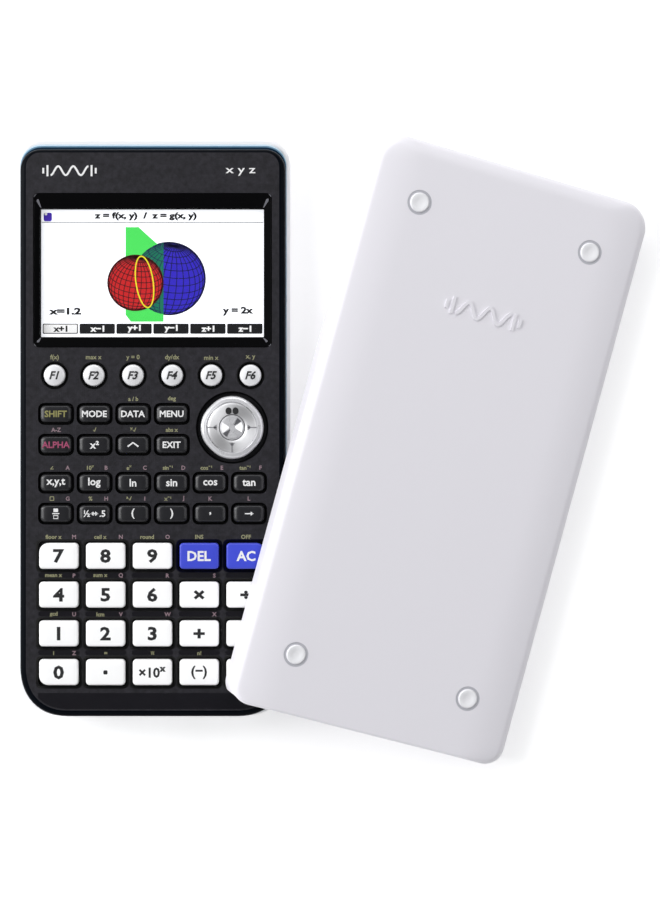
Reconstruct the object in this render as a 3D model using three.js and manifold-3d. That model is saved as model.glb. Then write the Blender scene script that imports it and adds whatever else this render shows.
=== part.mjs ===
// A graphing calculator lying on its back, with its hard slide-on cover taken off and
// leant on the lower right corner of its keyboard. Millimetres, +Z up, +Y towards the
// display end. The origin is the centre of the calculator's back face, on the table.
import * as THREE from "three";
import { mergeVertices } from "three/addons/utils/BufferGeometryUtils.js";
import Module from "manifold-3d";

const wasm = await Module();
wasm.setup();

// ---- Driving dimensions -------------------------------------------------------------
const CASE_W = 89; // across the white rear shell
const CASE_L = 188.5;
const CASE_T = 18.6; // table to the tops of the number keys
const REAR_TOP_R = 8.5; // plan corner radii of the rear shell
const REAR_END_R = 14;
const FRONT_HALF_W = 43.4; // black front shell, at its blue trim flange
const FRONT_TOP_Y = 92;
const FRONT_END_Y = -94.1;
const FRONT_TOP_R = 7;
const BOAT_W = 15.8; // the softened lower corners of the front shell
const BOAT_L = 16.4;
const BOAT_PULL = 0.62; // how square those corners are: 0.55 would be a quarter ellipse
const GAP = 0.3; // clearance between pieces that sit on each other

const FACE_Z = 17.2; // top of the front shell's face
const PANEL_T = 1.6;
const PANEL_Z = FACE_Z - PANEL_T; // underside of the face
const SPLIT_Z = 11.5; // top of the rear shell's rim
const TRIM_Z = SPLIT_Z + GAP;
const TRIM_T = 1;
const TRIM_STEP = 0.7; // how far the trim flange stands out of the black side
const FACE_CHAMFER = 1.6;
const WALL = 1.4;
const BACK_Z = 0.5; // the back stands this high on its four feet
const FLOOR_TOP = 2;
const TONGUE_INSET = 1.2; // front shell's tongue, inside the rear rim
const TONGUE_END_INSET = 2.3;
const TONGUE_Z = 9;
const REAR_WALL = 2.8;
const RIM_CHAMFER = 0.9;
const BACK_CHAMFER = 2;
const FEET = [[34, 74], [-34, 74], [34, -72], [-34, -72]];
const FOOT_R = 3.3;

const GROOVE_Z = 7.6; // tracks for the slide cover
const GROOVE_H = 1.6;
const GROOVE_D = 1.1;

// ---- Display ------------------------------------------------------------------------
const DISPLAY_Y = 50.75;
const RECESS_W = 77.4;
const RECESS_L = 50.1;
const RECESS_R = 2;
const VIEW_W = 73;
const VIEW_L = 42.2;
const VIEW_Y = 49.9;
const LEDGE_Z = 15;
const COLLAR = 3; // how much wider than the recess the ledge round it is
const WINDOW_Z = 15.8;
const WINDOW_T = 0.8;
const LCD = { w: 76, l: 48.4, z: 13, t: 1.7, glassInset: 1.2, glassT: 0.6 };

// ---- Keys ---------------------------------------------------------------------------
const KEY_FLANGE_Z = 14.5;
const KEY_FLANGE_T = 0.8;
const KEY_FLANGE = 0.9; // how far a key's flange stands out of its cap
const KEY_HOLE_GAP = 0.5;
const SMALL_KEY = { w: 10, l: 5.4, r: 1.4, top: 18.3, edge: 0.5 };
const LARGE_KEY = { w: 12.7, l: 8.4, r: 1.2, top: CASE_T, edge: 0.4 };
const ROUND_KEY = { r: 3.5, hole: 4.2, flange: 4.9, top: 18.2, edge: 0.8 };
const PAD = { x: 25.8, y: -0.2, r: 10.2, hole: 11.2, flange: 12, top: 18.5, edge: 1.1 };
const PAD_FLANGE_Z = 13.7;
const PAD_FLANGE_T = 0.7;
const PIVOT = { r: 2.2, z: 10.9, top: 13.4 };
const SMALL_PITCH = 12.5;
const LARGE_PITCH = 15.15;
const ROUND_PITCH = 12.7;

// Rows from the display down: the place of each row, its pitch, and its keys' names.
const KEY_ROWS = [
  { y: 16.7, pitch: ROUND_PITCH, form: ROUND_KEY, colour: "silver", columns: 6,
    names: ["f1", "f2", "f3", "f4", "f5", "f6"] },
  { y: 4.2, pitch: SMALL_PITCH, form: SMALL_KEY, colour: "black", columns: 6,
    names: ["shift", "option", "variable", "menu"] },
  { y: -5.8, pitch: SMALL_PITCH, form: SMALL_KEY, colour: "black", columns: 6,
    names: ["alpha", "square", "power", "exit"] },
  { y: -18.1, pitch: SMALL_PITCH, form: SMALL_KEY, colour: "black", columns: 6,
    names: ["unknown", "log", "ln", "sin", "cos", "tan"] },
  { y: -28.1, pitch: SMALL_PITCH, form: SMALL_KEY, colour: "black", columns: 6,
    names: ["fraction", "convert", "paren_open", "paren_close", "comma", "store"] },
  { y: -41.8, pitch: LARGE_PITCH, form: LARGE_KEY, colour: "white", columns: 5,
    names: ["7", "8", "9", "delete", "clear"] },
  { y: -54.35, pitch: LARGE_PITCH, form: LARGE_KEY, colour: "white", columns: 5,
    names: ["4", "5", "6", "times", "divide"] },
  { y: -66.9, pitch: LARGE_PITCH, form: LARGE_KEY, colour: "white", columns: 5,
    names: ["1", "2", "3", "plus", "minus"] },
  { y: -79.45, pitch: LARGE_PITCH, form: LARGE_KEY, colour: "white", columns: 5,
    names: ["0", "point", "exponent", "negate", "execute"] },
];
const BLUE_KEYS = ["delete", "clear"];

// ---- Inside -------------------------------------------------------------------------
const BOARD = { halfW: 39.6, top: 20, end: -88, z: 9.6, t: 1, cornerR: 12 };
const MEMBRANE = {
  halfW: 38.6, top: 21.6, end: -86.4, cornerR: 11, z: 10.9, t: 0.7, domeTop: 14.2, padDomeTop: 13.4,
};
const CHIPS = [ // on the underside of the board
  { x0: -7, x1: 7, y0: -6, y1: 8, t: 1.4 }, // processor
  { x0: 14, x1: 24, y0: -4, y1: 4, t: 1.2 }, // memory
];
const DOME = { r: 2.2, topR: 1.4, padReach: 7 };
const POSTS = [[36, 84], [-36, 84], [36.6, -34.7], [-36.6, -34.7], [24, -87.2], [-24, -87.2]];
const POST_R = 2.6;
const POST_TOP_Z = 9.3;
const BOSS_R = 1.8;
const SCREW_HOLE = { r: 1.8, depth: 4 };
const BATTERY = { r: 5.25, length: 44.5, pitch: 10.9, y: 50, z: 7.45, nubR: 1.9, nub: 0.8 };
const BAY = { halfW: 23, y0: 23, y1: 77, wall: 1.2, top: 10 };
const DOOR = { z: 0.6, t: 1.2 };
const DOORWAY_INSET = 0.3; // from the bay's inner walls
const TAB = { x: 15, w: 7, reach: 1.9, z: 2.3, t: 1, root: 1.2 };
const USB = { x: 14, w: 9.2, z0: 4.8, z1: 9, depth: 6.2, shell: 0.7, tongueHalf: 2.6, tongueZ: 6.9 };
const JACK = { x: -14, r: 1.9, z: 6.6, depth: 7, block: 6, below: 2.2, bore: 1.3 };
const SOCKET_CLEARANCE = 0.1; // a socket's shell inside the hole it shows through
const OVERLAP = 0.1; // how far a part runs into the one it is fused with
const SOCKET_Y = -89.9; // outer faces of both sockets

// ---- Slide cover --------------------------------------------------------------------
const COVER = { w: 94, l: 189.6, depth: 13, wall: 1.5, roof: 1.5, closedR: 9, openR: 6.5 };
const COVER_EDGE = 2.4; // rounding of the roof's outer edges
const LIP = { reach: 1.7, t: 1.3 };
const COVER_FOOT = { r: 3.3, h: 0.5, dx: 29.4, dy: 75 };
const COVER_TURN = -15.3; // degrees in plan, its closed end away to the right
const COVER_TILT = 11.8; // degrees, its left edge raised on the keys
const COVER_X = 91.6; // where the centre of its roof stands over the table
const COVER_Y = -7.5;
const COVER_REST_Z = 0.3; // its right edge, just off the table

const COLOURS = {
  black: { color: 0x1b1b1f, roughness: 0.35, metalness: 0 },
  white: { color: 0xf2f2f2, roughness: 0.4, metalness: 0 },
  blue: { color: 0x2a3fc0, roughness: 0.35, metalness: 0 },
  silver: { color: 0xc9c9c9, roughness: 0.3, metalness: 0.8 },
  face: { color: 0x2d2c31, roughness: 0.5, metalness: 0 },
  shell: { color: 0xe6e6ea, roughness: 0.45, metalness: 0 },
  glass: { color: 0x9fb4bb, roughness: 0.05, metalness: 0, transparent: true, opacity: 0.35 },
  lcd: { color: 0xf4f6f8, roughness: 0.3, metalness: 0 },
  rubber: { color: 0x8d9296, roughness: 0.8, metalness: 0 },
  board: { color: 0x1f6b3a, roughness: 0.5, metalness: 0 },
  cell: { color: 0x3c4f8f, roughness: 0.35, metalness: 0.6 },
};

// ---- Tools --------------------------------------------------------------------------
// A closed geometry as a solid that can be joined and cut.
function solid(geometry) {
  const bare = geometry.index ? geometry.toNonIndexed() : geometry.clone();
  bare.deleteAttribute("normal");
  bare.deleteAttribute("uv");
  const merged = mergeVertices(bare, 1e-4);
  return new wasm.Manifold(
    new wasm.Mesh({
      numProp: 3,
      vertProperties: merged.attributes.position.array,
      triVerts: new Uint32Array(merged.index.array),
    }),
  );
}

function geometryOf(made) {
  const mesh = made.getMesh();
  return new THREE.BufferGeometry()
    .setAttribute("position", new THREE.BufferAttribute(mesh.vertProperties, 3))
    .setIndex(new THREE.BufferAttribute(mesh.triVerts, 1))
    .toNonIndexed();
}

const joined = (first, ...others) => others.reduce((sum, part) => sum.add(part), first);
const cut = (first, ...others) => others.reduce((rest, part) => rest.subtract(part), first);

// A closed surface through loops of equally many points, each { z, points }, lowest first.
function loft(sections) {
  const count = sections[0].points.length;
  const positions = sections.flatMap(({ z, points }) => points.flatMap((p) => [p.x, p.y, z]));
  const index = [];
  for (let level = 0; level < sections.length - 1; level += 1) {
    for (let i = 0; i < count; i += 1) {
      const a = level * count + i;
      const b = level * count + ((i + 1) % count);
      index.push(a, b, b + count, a, b + count, a + count);
    }
  }
  const last = (sections.length - 1) * count;
  for (const [a, b, c] of THREE.ShapeUtils.triangulateShape(sections[0].points, [])) {
    index.push(a, c, b);
  }
  for (const [a, b, c] of THREE.ShapeUtils.triangulateShape(sections.at(-1).points, [])) {
    index.push(last + a, last + b, last + c);
  }
  return new THREE.BufferGeometry()
    .setAttribute("position", new THREE.Float32BufferAttribute(positions, 3))
    .setIndex(index);
}

const prism = (points, z0, z1) => solid(loft([{ z: z0, points }, { z: z1, points }]));
const box = (x0, x1, y0, y1, z0, z1) =>
  solid(new THREE.BoxGeometry(x1 - x0, y1 - y0, z1 - z0)
    .translate((x0 + x1) / 2, (y0 + y1) / 2, (z0 + z1) / 2));
const cylinder = (r, x, y, z0, z1, sides = 12, topR = r) =>
  solid(new THREE.CylinderGeometry(topR, r, z1 - z0, sides)
    .rotateX(Math.PI / 2)
    .translate(x, y, (z0 + z1) / 2));

// The points of a closed shape, without the repeated ones where its lines and arcs meet.
function pointsOf(shape, divisions) {
  const points = shape.getPoints(divisions);
  return points.filter((point, i) => point.distanceTo(points.at(i - 1)) > 1e-5);
}

// A rectangle between two corners, with one radius at its +Y end and one at its -Y end.
// Each corner has twice as many chords as divisions, so CUT_CORNER gives it one.
const CUT_CORNER = 0.5;

function roundedBox(x0, x1, y0, y1, topR, endR, divisions = 2) {
  const shape = new THREE.Shape();
  shape.moveTo(x0 + endR, y0);
  shape.lineTo(x1 - endR, y0);
  shape.absarc(x1 - endR, y0 + endR, endR, -Math.PI / 2, 0, false);
  shape.lineTo(x1, y1 - topR);
  shape.absarc(x1 - topR, y1 - topR, topR, 0, Math.PI / 2, false);
  shape.lineTo(x0 + topR, y1);
  shape.absarc(x0 + topR, y1 - topR, topR, Math.PI / 2, Math.PI, false);
  shape.lineTo(x0, y0 + endR);
  shape.absarc(x0 + endR, y0 + endR, endR, Math.PI, 1.5 * Math.PI, false);
  return pointsOf(shape, divisions);
}

const roundedRect = (w, l, r, x = 0, y = 0, divisions = 2) =>
  roundedBox(x - w / 2, x + w / 2, y - l / 2, y + l / 2, r, r, divisions);

function circle(r, x, y, sides) {
  return Array.from({ length: sides }, (_, i) => {
    const angle = (2 * Math.PI * i) / sides;
    return new THREE.Vector2(x + r * Math.cos(angle), y + r * Math.sin(angle));
  });
}

// ---- Outlines -----------------------------------------------------------------------
const rearOutline = (inset) =>
  roundedBox(
    -CASE_W / 2 + inset, CASE_W / 2 - inset, -CASE_L / 2 + inset, CASE_L / 2 - inset,
    REAR_TOP_R - inset, REAR_END_R - inset, 3,
  );

// The front shell's outline, inset evenly and, at its lower end, by endInset.
function frontOutline(inset, endInset = inset) {
  const w = FRONT_HALF_W - inset;
  const top = FRONT_TOP_Y - inset;
  const end = FRONT_END_Y + endInset;
  const r = FRONT_TOP_R - inset;
  const boatW = BOAT_W - inset;
  const boatL = BOAT_L - endInset;
  const [inX, inY] = [w - boatW, end + boatL];
  const [pullX, pullY] = [inX + BOAT_PULL * boatW, inY - BOAT_PULL * boatL];
  const shape = new THREE.Shape();
  shape.moveTo(-inX, end);
  shape.lineTo(inX, end);
  shape.bezierCurveTo(pullX, end, w, pullY, w, inY);
  shape.lineTo(w, top - r);
  shape.absarc(w - r, top - r, r, 0, Math.PI / 2, false);
  shape.lineTo(-w + r, top);
  shape.absarc(-w + r, top - r, r, Math.PI / 2, Math.PI, false);
  shape.lineTo(-w, inY);
  shape.bezierCurveTo(-w, pullY, -pullX, end, -inX, end);
  return pointsOf(shape, 5);
}

// ---- Keys ---------------------------------------------------------------------------
// Every key with its name, form, colour and place.
const KEYS = KEY_ROWS.flatMap(({ y, pitch, form, colour, columns, names }) =>
  names.map((name, column) => ({
    name, form, y,
    x: (column - (columns - 1) / 2) * pitch,
    colour: BLUE_KEYS.includes(name) ? "blue" : colour,
  })),
);

// A key's outline grown by a margin: round for the function keys, else a rounded box.
function keyOutline({ form, x, y }, grow) {
  return form === ROUND_KEY
    ? circle(form.r + grow, x, y, 12)
    : roundedRect(form.w + 2 * grow, form.l + 2 * grow, form.r + Math.min(grow, 0), x, y, 1);
}

function keyCap(key) {
  const { form } = key;
  const flange = keyOutline(key, form === ROUND_KEY ? form.flange - form.r : KEY_FLANGE);
  const cap = keyOutline(key, 0);
  return loft([
    { z: KEY_FLANGE_Z, points: flange },
    { z: KEY_FLANGE_Z + KEY_FLANGE_T, points: flange },
    { z: KEY_FLANGE_Z + KEY_FLANGE_T, points: cap },
    { z: form.top - form.edge, points: cap },
    { z: form.top, points: keyOutline(key, -form.edge) },
  ]);
}

// The hole a key rises through, with cut corners that clear the cap's round ones.
function keyHole({ form, x, y }) {
  if (form === ROUND_KEY) return prism(circle(form.hole, x, y, 12), PANEL_Z - 1, FACE_Z + 1);
  const [w, l] = [form.w + 2 * KEY_HOLE_GAP, form.l + 2 * KEY_HOLE_GAP];
  return prism(roundedRect(w, l, form.r / 2 + GAP, x, y, CUT_CORNER), PANEL_Z - 1, FACE_Z + 1);
}

// The direction pad: a disc with a rounded edge and a shallow dish round its centre.
function tiltPad() {
  const { x, y, r, flange, top, edge } = PAD;
  const sides = 24;
  return loft([
    { z: PAD_FLANGE_Z, points: circle(flange, x, y, sides) },
    { z: PAD_FLANGE_Z + PAD_FLANGE_T, points: circle(flange, x, y, sides) },
    { z: PAD_FLANGE_Z + PAD_FLANGE_T, points: circle(r, x, y, sides) },
    { z: top - edge, points: circle(r, x, y, sides) },
    { z: top, points: circle(r - edge, x, y, sides) },
    { z: top - 0.6, points: circle(r / 2.4, x, y, sides) },
  ]);
}

// The small boss that the pad rocks on.
const tiltPivot = () => geometryOf(
  joined(
    cylinder(PIVOT.r, PAD.x, PAD.y, PIVOT.z, PIVOT.top - 0.5, 12),
    cylinder(PIVOT.r, PAD.x, PAD.y, PIVOT.top - 0.5, PIVOT.top, 12, PIVOT.r / 2),
  ),
);

// ---- Front shell, window and display --------------------------------------------------
function frontHousing() {
  const flange = loft([
    { z: TRIM_Z, points: frontOutline(0) },
    { z: TRIM_Z + TRIM_T, points: frontOutline(0) },
    { z: TRIM_Z + TRIM_T, points: frontOutline(TRIM_STEP) },
    { z: FACE_Z - FACE_CHAMFER, points: frontOutline(TRIM_STEP) },
    { z: FACE_Z, points: frontOutline(TRIM_STEP + FACE_CHAMFER * 0.7) },
  ]);
  const tongue = prism(frontOutline(TONGUE_INSET, TONGUE_END_INSET), TONGUE_Z, TRIM_Z + TRIM_T);
  const cavity = prism(
    frontOutline(TONGUE_INSET + WALL, TONGUE_END_INSET + WALL), TONGUE_Z - 1, PANEL_Z,
  );
  const collar = prism(
    roundedRect(RECESS_W + COLLAR, RECESS_L + COLLAR, RECESS_R, 0, DISPLAY_Y, 1), LEDGE_Z, PANEL_Z + 0.5,
  );
  const recess = prism(
    roundedRect(RECESS_W, RECESS_L, RECESS_R, 0, DISPLAY_Y, 3), WINDOW_Z - GAP, FACE_Z + 1,
  );
  const view = prism(roundedRect(VIEW_W, VIEW_L, 1, 0, VIEW_Y, 1), LEDGE_Z - 1, FACE_Z + 1);
  const bosses = POSTS.map(([x, y]) => cylinder(BOSS_R, x, y, POST_TOP_Z + GAP, PANEL_Z + 0.5));
  const padHole = cylinder(PAD.hole, PAD.x, PAD.y, PANEL_Z - 1, FACE_Z + 1, 24);
  const shell = cut(joined(solid(flange), tongue), cavity);
  const whole = joined(shell, collar, ...bosses);
  return geometryOf(cut(whole, recess, view, padHole, ...KEYS.map(keyHole)));
}

const displayWindow = () => loft(
  [WINDOW_Z, WINDOW_Z + WINDOW_T].map((z) => ({
    z, points: roundedRect(RECESS_W - 2 * GAP, RECESS_L - 2 * GAP, RECESS_R, 0, DISPLAY_Y, 3),
  })),
);

function lcdModule() {
  const { w, l, z, t, glassInset, glassT } = LCD;
  const frame = roundedRect(w, l, 1, 0, DISPLAY_Y, 1);
  const glass = roundedRect(w - 2 * glassInset, l - 2 * glassInset, 0.5, 0, DISPLAY_Y, 1);
  return loft([
    { z, points: frame },
    { z: z + t - glassT, points: frame },
    { z: z + t - glassT, points: glass },
    { z: z + t, points: glass },
  ]);
}

// ---- Rear shell, door and cells -------------------------------------------------------
function rearShell() {
  const outside = loft([
    { z: BACK_Z, points: rearOutline(BACK_CHAMFER) },
    { z: BACK_Z + BACK_CHAMFER, points: rearOutline(0) },
    { z: SPLIT_Z - RIM_CHAMFER, points: rearOutline(0) },
    { z: SPLIT_Z, points: rearOutline(RIM_CHAMFER) },
  ]);
  const rimZ = TONGUE_Z - GAP;
  const cavity = joined(
    prism(rearOutline(REAR_WALL), FLOOR_TOP, rimZ),
    prism(frontOutline(TONGUE_INSET - GAP, TONGUE_END_INSET - GAP), rimZ, SPLIT_Z + 1),
  );
  const feet = FEET.map(([x, y]) => cylinder(FOOT_R, x, y, 0, BACK_Z + 0.5));
  return joined(cut(solid(outside), cavity), ...feet);
}

// The tracks the slide cover's lips run in, one in each long side, open at the +Y end.
function coverGrooves() {
  const [inner, outer] = [CASE_W / 2 - GROOVE_D, CASE_W / 2 + 1];
  const [y0, y1] = [-CASE_L / 2 + REAR_END_R, CASE_L / 2 + 1];
  const [z0, z1] = [GROOVE_Z, GROOVE_Z + GROOVE_H];
  return [box(inner, outer, y0, y1, z0, z1), box(-outer, -inner, y0, y1, z0, z1)];
}

// The walls round the cells, and what is cut through them and the floor for the door.
function bayWalls() {
  const { halfW, y0, y1, wall, top } = BAY;
  return cut(
    box(-halfW - wall, halfW + wall, y0 - wall, y1 + wall, FLOOR_TOP - 0.5, top),
    box(-halfW, halfW, y0, y1, 0, top + 1),
  );
}

function doorCuts() {
  const { halfW, y0, y1 } = BAY;
  const inset = DOORWAY_INSET;
  const doorway = box(-halfW + inset, halfW - inset, y0 + inset, y1 - inset, -1, FLOOR_TOP + 1);
  const slots = [-TAB.x, TAB.x].map((x) => box(
    x - TAB.w / 2 - 2 * GAP, x + TAB.w / 2 + 2 * GAP, y0 - 2, y0 + 1, FLOOR_TOP, TAB.z + TAB.t + 2,
  ));
  return [doorway, ...slots];
}

function portCuts() {
  const end = -CASE_L / 2;
  return [
    box(USB.x - USB.w / 2, USB.x + USB.w / 2, end - 1, end + REAR_WALL + 1, USB.z0, USB.z1),
    solid(new THREE.CylinderGeometry(JACK.r, JACK.r, REAR_WALL + 2, 16)
      .translate(JACK.x, end + REAR_WALL / 2, JACK.z)),
  ];
}

function rearHousing() {
  const posts = POSTS.map(([x, y]) => cylinder(POST_R, x, y, FLOOR_TOP - 0.5, POST_TOP_Z));
  const screwHoles = POSTS.map(([x, y]) => cylinder(SCREW_HOLE.r, x, y, -1, SCREW_HOLE.depth));
  const tray = joined(rearShell(), bayWalls(), ...posts);
  return geometryOf(cut(tray, ...coverGrooves(), ...doorCuts(), ...screwHoles, ...portCuts()));
}

// The door's hooks reach over the floor at its -Y edge; it swings out about that edge.
function batteryDoor() {
  const inset = DOORWAY_INSET + GAP;
  const [x, y0, y1] = [BAY.halfW - inset, BAY.y0 + inset, BAY.y1 - inset];
  const plate = box(-x, x, y0, y1, DOOR.z, DOOR.z + DOOR.t);
  const hooks = [-TAB.x, TAB.x].flatMap((at) => {
    const [x0, x1] = [at - TAB.w / 2, at + TAB.w / 2];
    return [
      box(x0, x1, y0, y0 + TAB.root, DOOR.z + DOOR.t / 2, TAB.z + TAB.t),
      box(x0, x1, y0 - TAB.reach, y0 + TAB.root, TAB.z, TAB.z + TAB.t),
    ];
  });
  return geometryOf(joined(plate, ...hooks));
}

// A dry cell lying along Y, with its raised contact at the given end.
function cell(index) {
  const x = (index - 1.5) * BATTERY.pitch;
  const end = index % 2 ? -1 : 1;
  const half = BATTERY.length / 2;
  const profile = [
    [0, -half], [BATTERY.r, -half], [BATTERY.r, half - BATTERY.nub], [BATTERY.nubR, half - BATTERY.nub],
    [BATTERY.nubR, half], [0, half],
  ].map(([r, y]) => new THREE.Vector2(r, y));
  return new THREE.LatheGeometry(profile, 16)
    .rotateZ(end > 0 ? 0 : Math.PI)
    .translate(x, BATTERY.y, BATTERY.z);
}

// ---- Board and keypad -----------------------------------------------------------------
function mainBoard() {
  const { halfW, top, end, z, t, cornerR } = BOARD;
  const board = prism(roundedBox(-halfW, halfW, end, top, 1, cornerR, 3), z, z + t);
  const usbLow = USB.z0 + SOCKET_CLEARANCE;
  const usbHalf = USB.w / 2 - SOCKET_CLEARANCE;
  const usbEnd = SOCKET_Y + USB.depth;
  const usb = cut(
    box(USB.x - usbHalf, USB.x + usbHalf, SOCKET_Y, usbEnd, usbLow, z + OVERLAP),
    box(
      USB.x - usbHalf + USB.shell, USB.x + usbHalf - USB.shell, SOCKET_Y - 1, usbEnd - 1,
      usbLow + USB.shell, z - USB.shell,
    ),
  );
  const tongue = box(
    USB.x - USB.tongueHalf, USB.x + USB.tongueHalf, SOCKET_Y + 0.8, usbEnd, USB.tongueZ, USB.tongueZ + 0.8,
  );
  const jack = cut(
    box(
      JACK.x - JACK.block / 2, JACK.x + JACK.block / 2, SOCKET_Y, SOCKET_Y + JACK.depth,
      JACK.z - JACK.below, z + OVERLAP,
    ),
    solid(
      new THREE.CylinderGeometry(JACK.bore, JACK.bore, JACK.depth, 12)
        .translate(JACK.x, SOCKET_Y + 2, JACK.z),
    ),
  );
  const chips = CHIPS.map((chip) => box(chip.x0, chip.x1, chip.y0, chip.y1, z - chip.t, z + OVERLAP));
  const bossHoles = POSTS.map(([x, y]) => cylinder(POST_R, x, y, z - 1, z + t + 1));
  return geometryOf(cut(joined(board, usb, tongue, jack, ...chips), ...bossHoles));
}

// The places of the rubber domes: one under each key and four under the direction pad.
function domes() {
  const underKeys = KEYS.map(({ x, y }) => ({ x, y, top: MEMBRANE.domeTop }));
  const underPad = [0, 1, 2, 3].map((quarter) => ({
    x: PAD.x + DOME.padReach * Math.cos((quarter * Math.PI) / 2),
    y: PAD.y + DOME.padReach * Math.sin((quarter * Math.PI) / 2),
    top: MEMBRANE.padDomeTop,
  }));
  return [...underKeys, ...underPad];
}

function keypadMembrane() {
  const { halfW, top: topY, end, z, t, cornerR } = MEMBRANE;
  const sheet = prism(roundedBox(-halfW, halfW, end, topY, 1, cornerR, 2), z, z + t);
  const bumps = domes().map(({ x, y, top }) => cylinder(DOME.r, x, y, z + t / 2, top, 6, DOME.topR));
  const pivotHole = cylinder(PIVOT.r + 0.6, PAD.x, PAD.y, z - 1, z + t + 1);
  const bossHoles = POSTS.map(([x, y]) => cylinder(BOSS_R + 0.5, x, y, z - 1, z + t + 1));
  return geometryOf(cut(joined(sheet, ...bumps), pivotHole, ...bossHoles));
}

// ---- Slide cover ----------------------------------------------------------------------
// Made open side down, its rim on z = 0 and its closed end towards +Y.
function slideCover() {
  const { w, l, depth, wall, roof, closedR, openR } = COVER;
  const outline = (inset) => roundedBox(
    -w / 2 + inset, w / 2 - inset, -l / 2 + inset, l / 2 - inset, closedR - inset, openR - inset, 8,
  );
  const outside = loft([
    { z: 0, points: outline(0) },
    { z: depth - COVER_EDGE, points: outline(0) },
    { z: depth - COVER_EDGE * 0.3, points: outline(COVER_EDGE * 0.3) },
    { z: depth, points: outline(COVER_EDGE) },
  ]);
  const inside = prism(
    roundedBox(-w / 2 + wall, w / 2 - wall, -l, l / 2 - wall, closedR - wall, 1, 4), -1, depth - roof,
  );
  const lips = [-1, 1].map((side) => {
    const outer = side * (w / 2 - wall + 0.4);
    const inner = side * (w / 2 - wall - LIP.reach);
    return box(
      Math.min(outer, inner), Math.max(outer, inner), -l / 2 + openR, l / 2 - closedR, 0, LIP.t,
    );
  });
  const feet = [-1, 1].flatMap((sx) => [-1, 1].map((sy) =>
    cylinder(COVER_FOOT.r, sx * COVER_FOOT.dx, sy * COVER_FOOT.dy, depth - 0.5, depth + COVER_FOOT.h, 16)));
  return geometryOf(joined(cut(solid(outside), inside), ...lips, ...feet));
}

// ---- The object -----------------------------------------------------------------------
const calculator = new THREE.Group();

function add(name, geometry, colour, parent = calculator) {
  const mesh = new THREE.Mesh(geometry, new THREE.MeshStandardMaterial(COLOURS[colour]));
  mesh.name = name;
  parent.add(mesh);
  return mesh;
}

add("front_housing", frontHousing(), "face");
add("rear_housing", rearHousing(), "shell");
add("display_window", displayWindow(), "glass");
add("lcd_module", lcdModule(), "lcd");
add("main_board", mainBoard(), "board");
add("keypad_membrane", keypadMembrane(), "rubber");
add("battery_door", batteryDoor(), "shell");
for (let i = 0; i < 4; i += 1) add(`battery_${i + 1}`, cell(i), "cell");
for (const key of KEYS) add(`key_${key.name}`, keyCap(key), key.colour);
add("tilt_pivot", tiltPivot(), "rubber");
add("tilt_pad", tiltPad(), "silver");

// The cover leans with its left rim on the keys and its right rim on the table.
const tilt = THREE.MathUtils.degToRad(COVER_TILT);
const lean = new THREE.Group();
const coverZ = COVER_REST_Z + (COVER.w / 2) * Math.sin(tilt);
lean.position.set(COVER_X, COVER_Y, coverZ);
lean.rotation.set(0, tilt, THREE.MathUtils.degToRad(COVER_TURN), "ZYX");
add("slide_cover", slideCover(), "shell", lean);
calculator.add(lean);

export default calculator;
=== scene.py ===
"""A graphing calculator on its back, with its hard slide cover leaning on a corner of its keyboard.

Shapes are worked out in millimetres from the centre of the calculator's back, +Y towards the display,
and scaled to metres when a piece is made.
"""

import math

import bpy
from mathutils import Euler, Matrix, Vector


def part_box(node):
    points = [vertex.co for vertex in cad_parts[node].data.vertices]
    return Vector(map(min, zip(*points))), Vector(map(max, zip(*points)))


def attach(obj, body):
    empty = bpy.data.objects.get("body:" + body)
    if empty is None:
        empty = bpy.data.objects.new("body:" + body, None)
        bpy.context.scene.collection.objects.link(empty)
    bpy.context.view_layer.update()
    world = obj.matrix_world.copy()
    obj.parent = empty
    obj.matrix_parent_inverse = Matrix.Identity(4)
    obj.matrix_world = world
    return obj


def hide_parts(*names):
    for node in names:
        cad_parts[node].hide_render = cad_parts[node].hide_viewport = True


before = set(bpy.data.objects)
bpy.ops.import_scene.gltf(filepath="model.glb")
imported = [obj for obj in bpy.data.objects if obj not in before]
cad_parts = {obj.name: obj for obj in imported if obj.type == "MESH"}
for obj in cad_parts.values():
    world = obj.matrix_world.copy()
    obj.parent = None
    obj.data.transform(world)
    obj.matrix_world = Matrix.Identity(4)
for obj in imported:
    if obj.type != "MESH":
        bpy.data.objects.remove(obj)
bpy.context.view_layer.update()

MM = 0.001
CALCULATOR = "calculator"
COVER = "cover"
CAPITAL = 0.727  # height of a capital as a share of the type's size


def frame_box(node):
    """The lowest and highest corners of a CAD node, in millimetres."""
    low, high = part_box(node)
    return low / MM, high / MM


def frame_centre(node):
    low, high = frame_box(node)
    return (low + high) / 2


# ---- Driving dimensions ----
REAR_HIGH = frame_box("rear_housing")[1]
FRONT_LOW, FRONT_HIGH = frame_box("front_housing")
WINDOW_LOW, WINDOW_HIGH = frame_box("display_window")
LCD_LOW, LCD_HIGH = frame_box("lcd_module")
DOOR_LOW, DOOR_HIGH = frame_box("battery_door")

HALF_W = REAR_HIGH.x
HALF_L = REAR_HIGH.y
REAR_TOP_R, REAR_END_R = 8.5, 14.0
BACK_Z, BACK_ROUND = 0.5, 3.0
FLOOR_TOP = 2.0
SPLIT_Z = REAR_HIGH.z
RIM_Z = 8.7
REAR_WALL = 2.8

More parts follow.
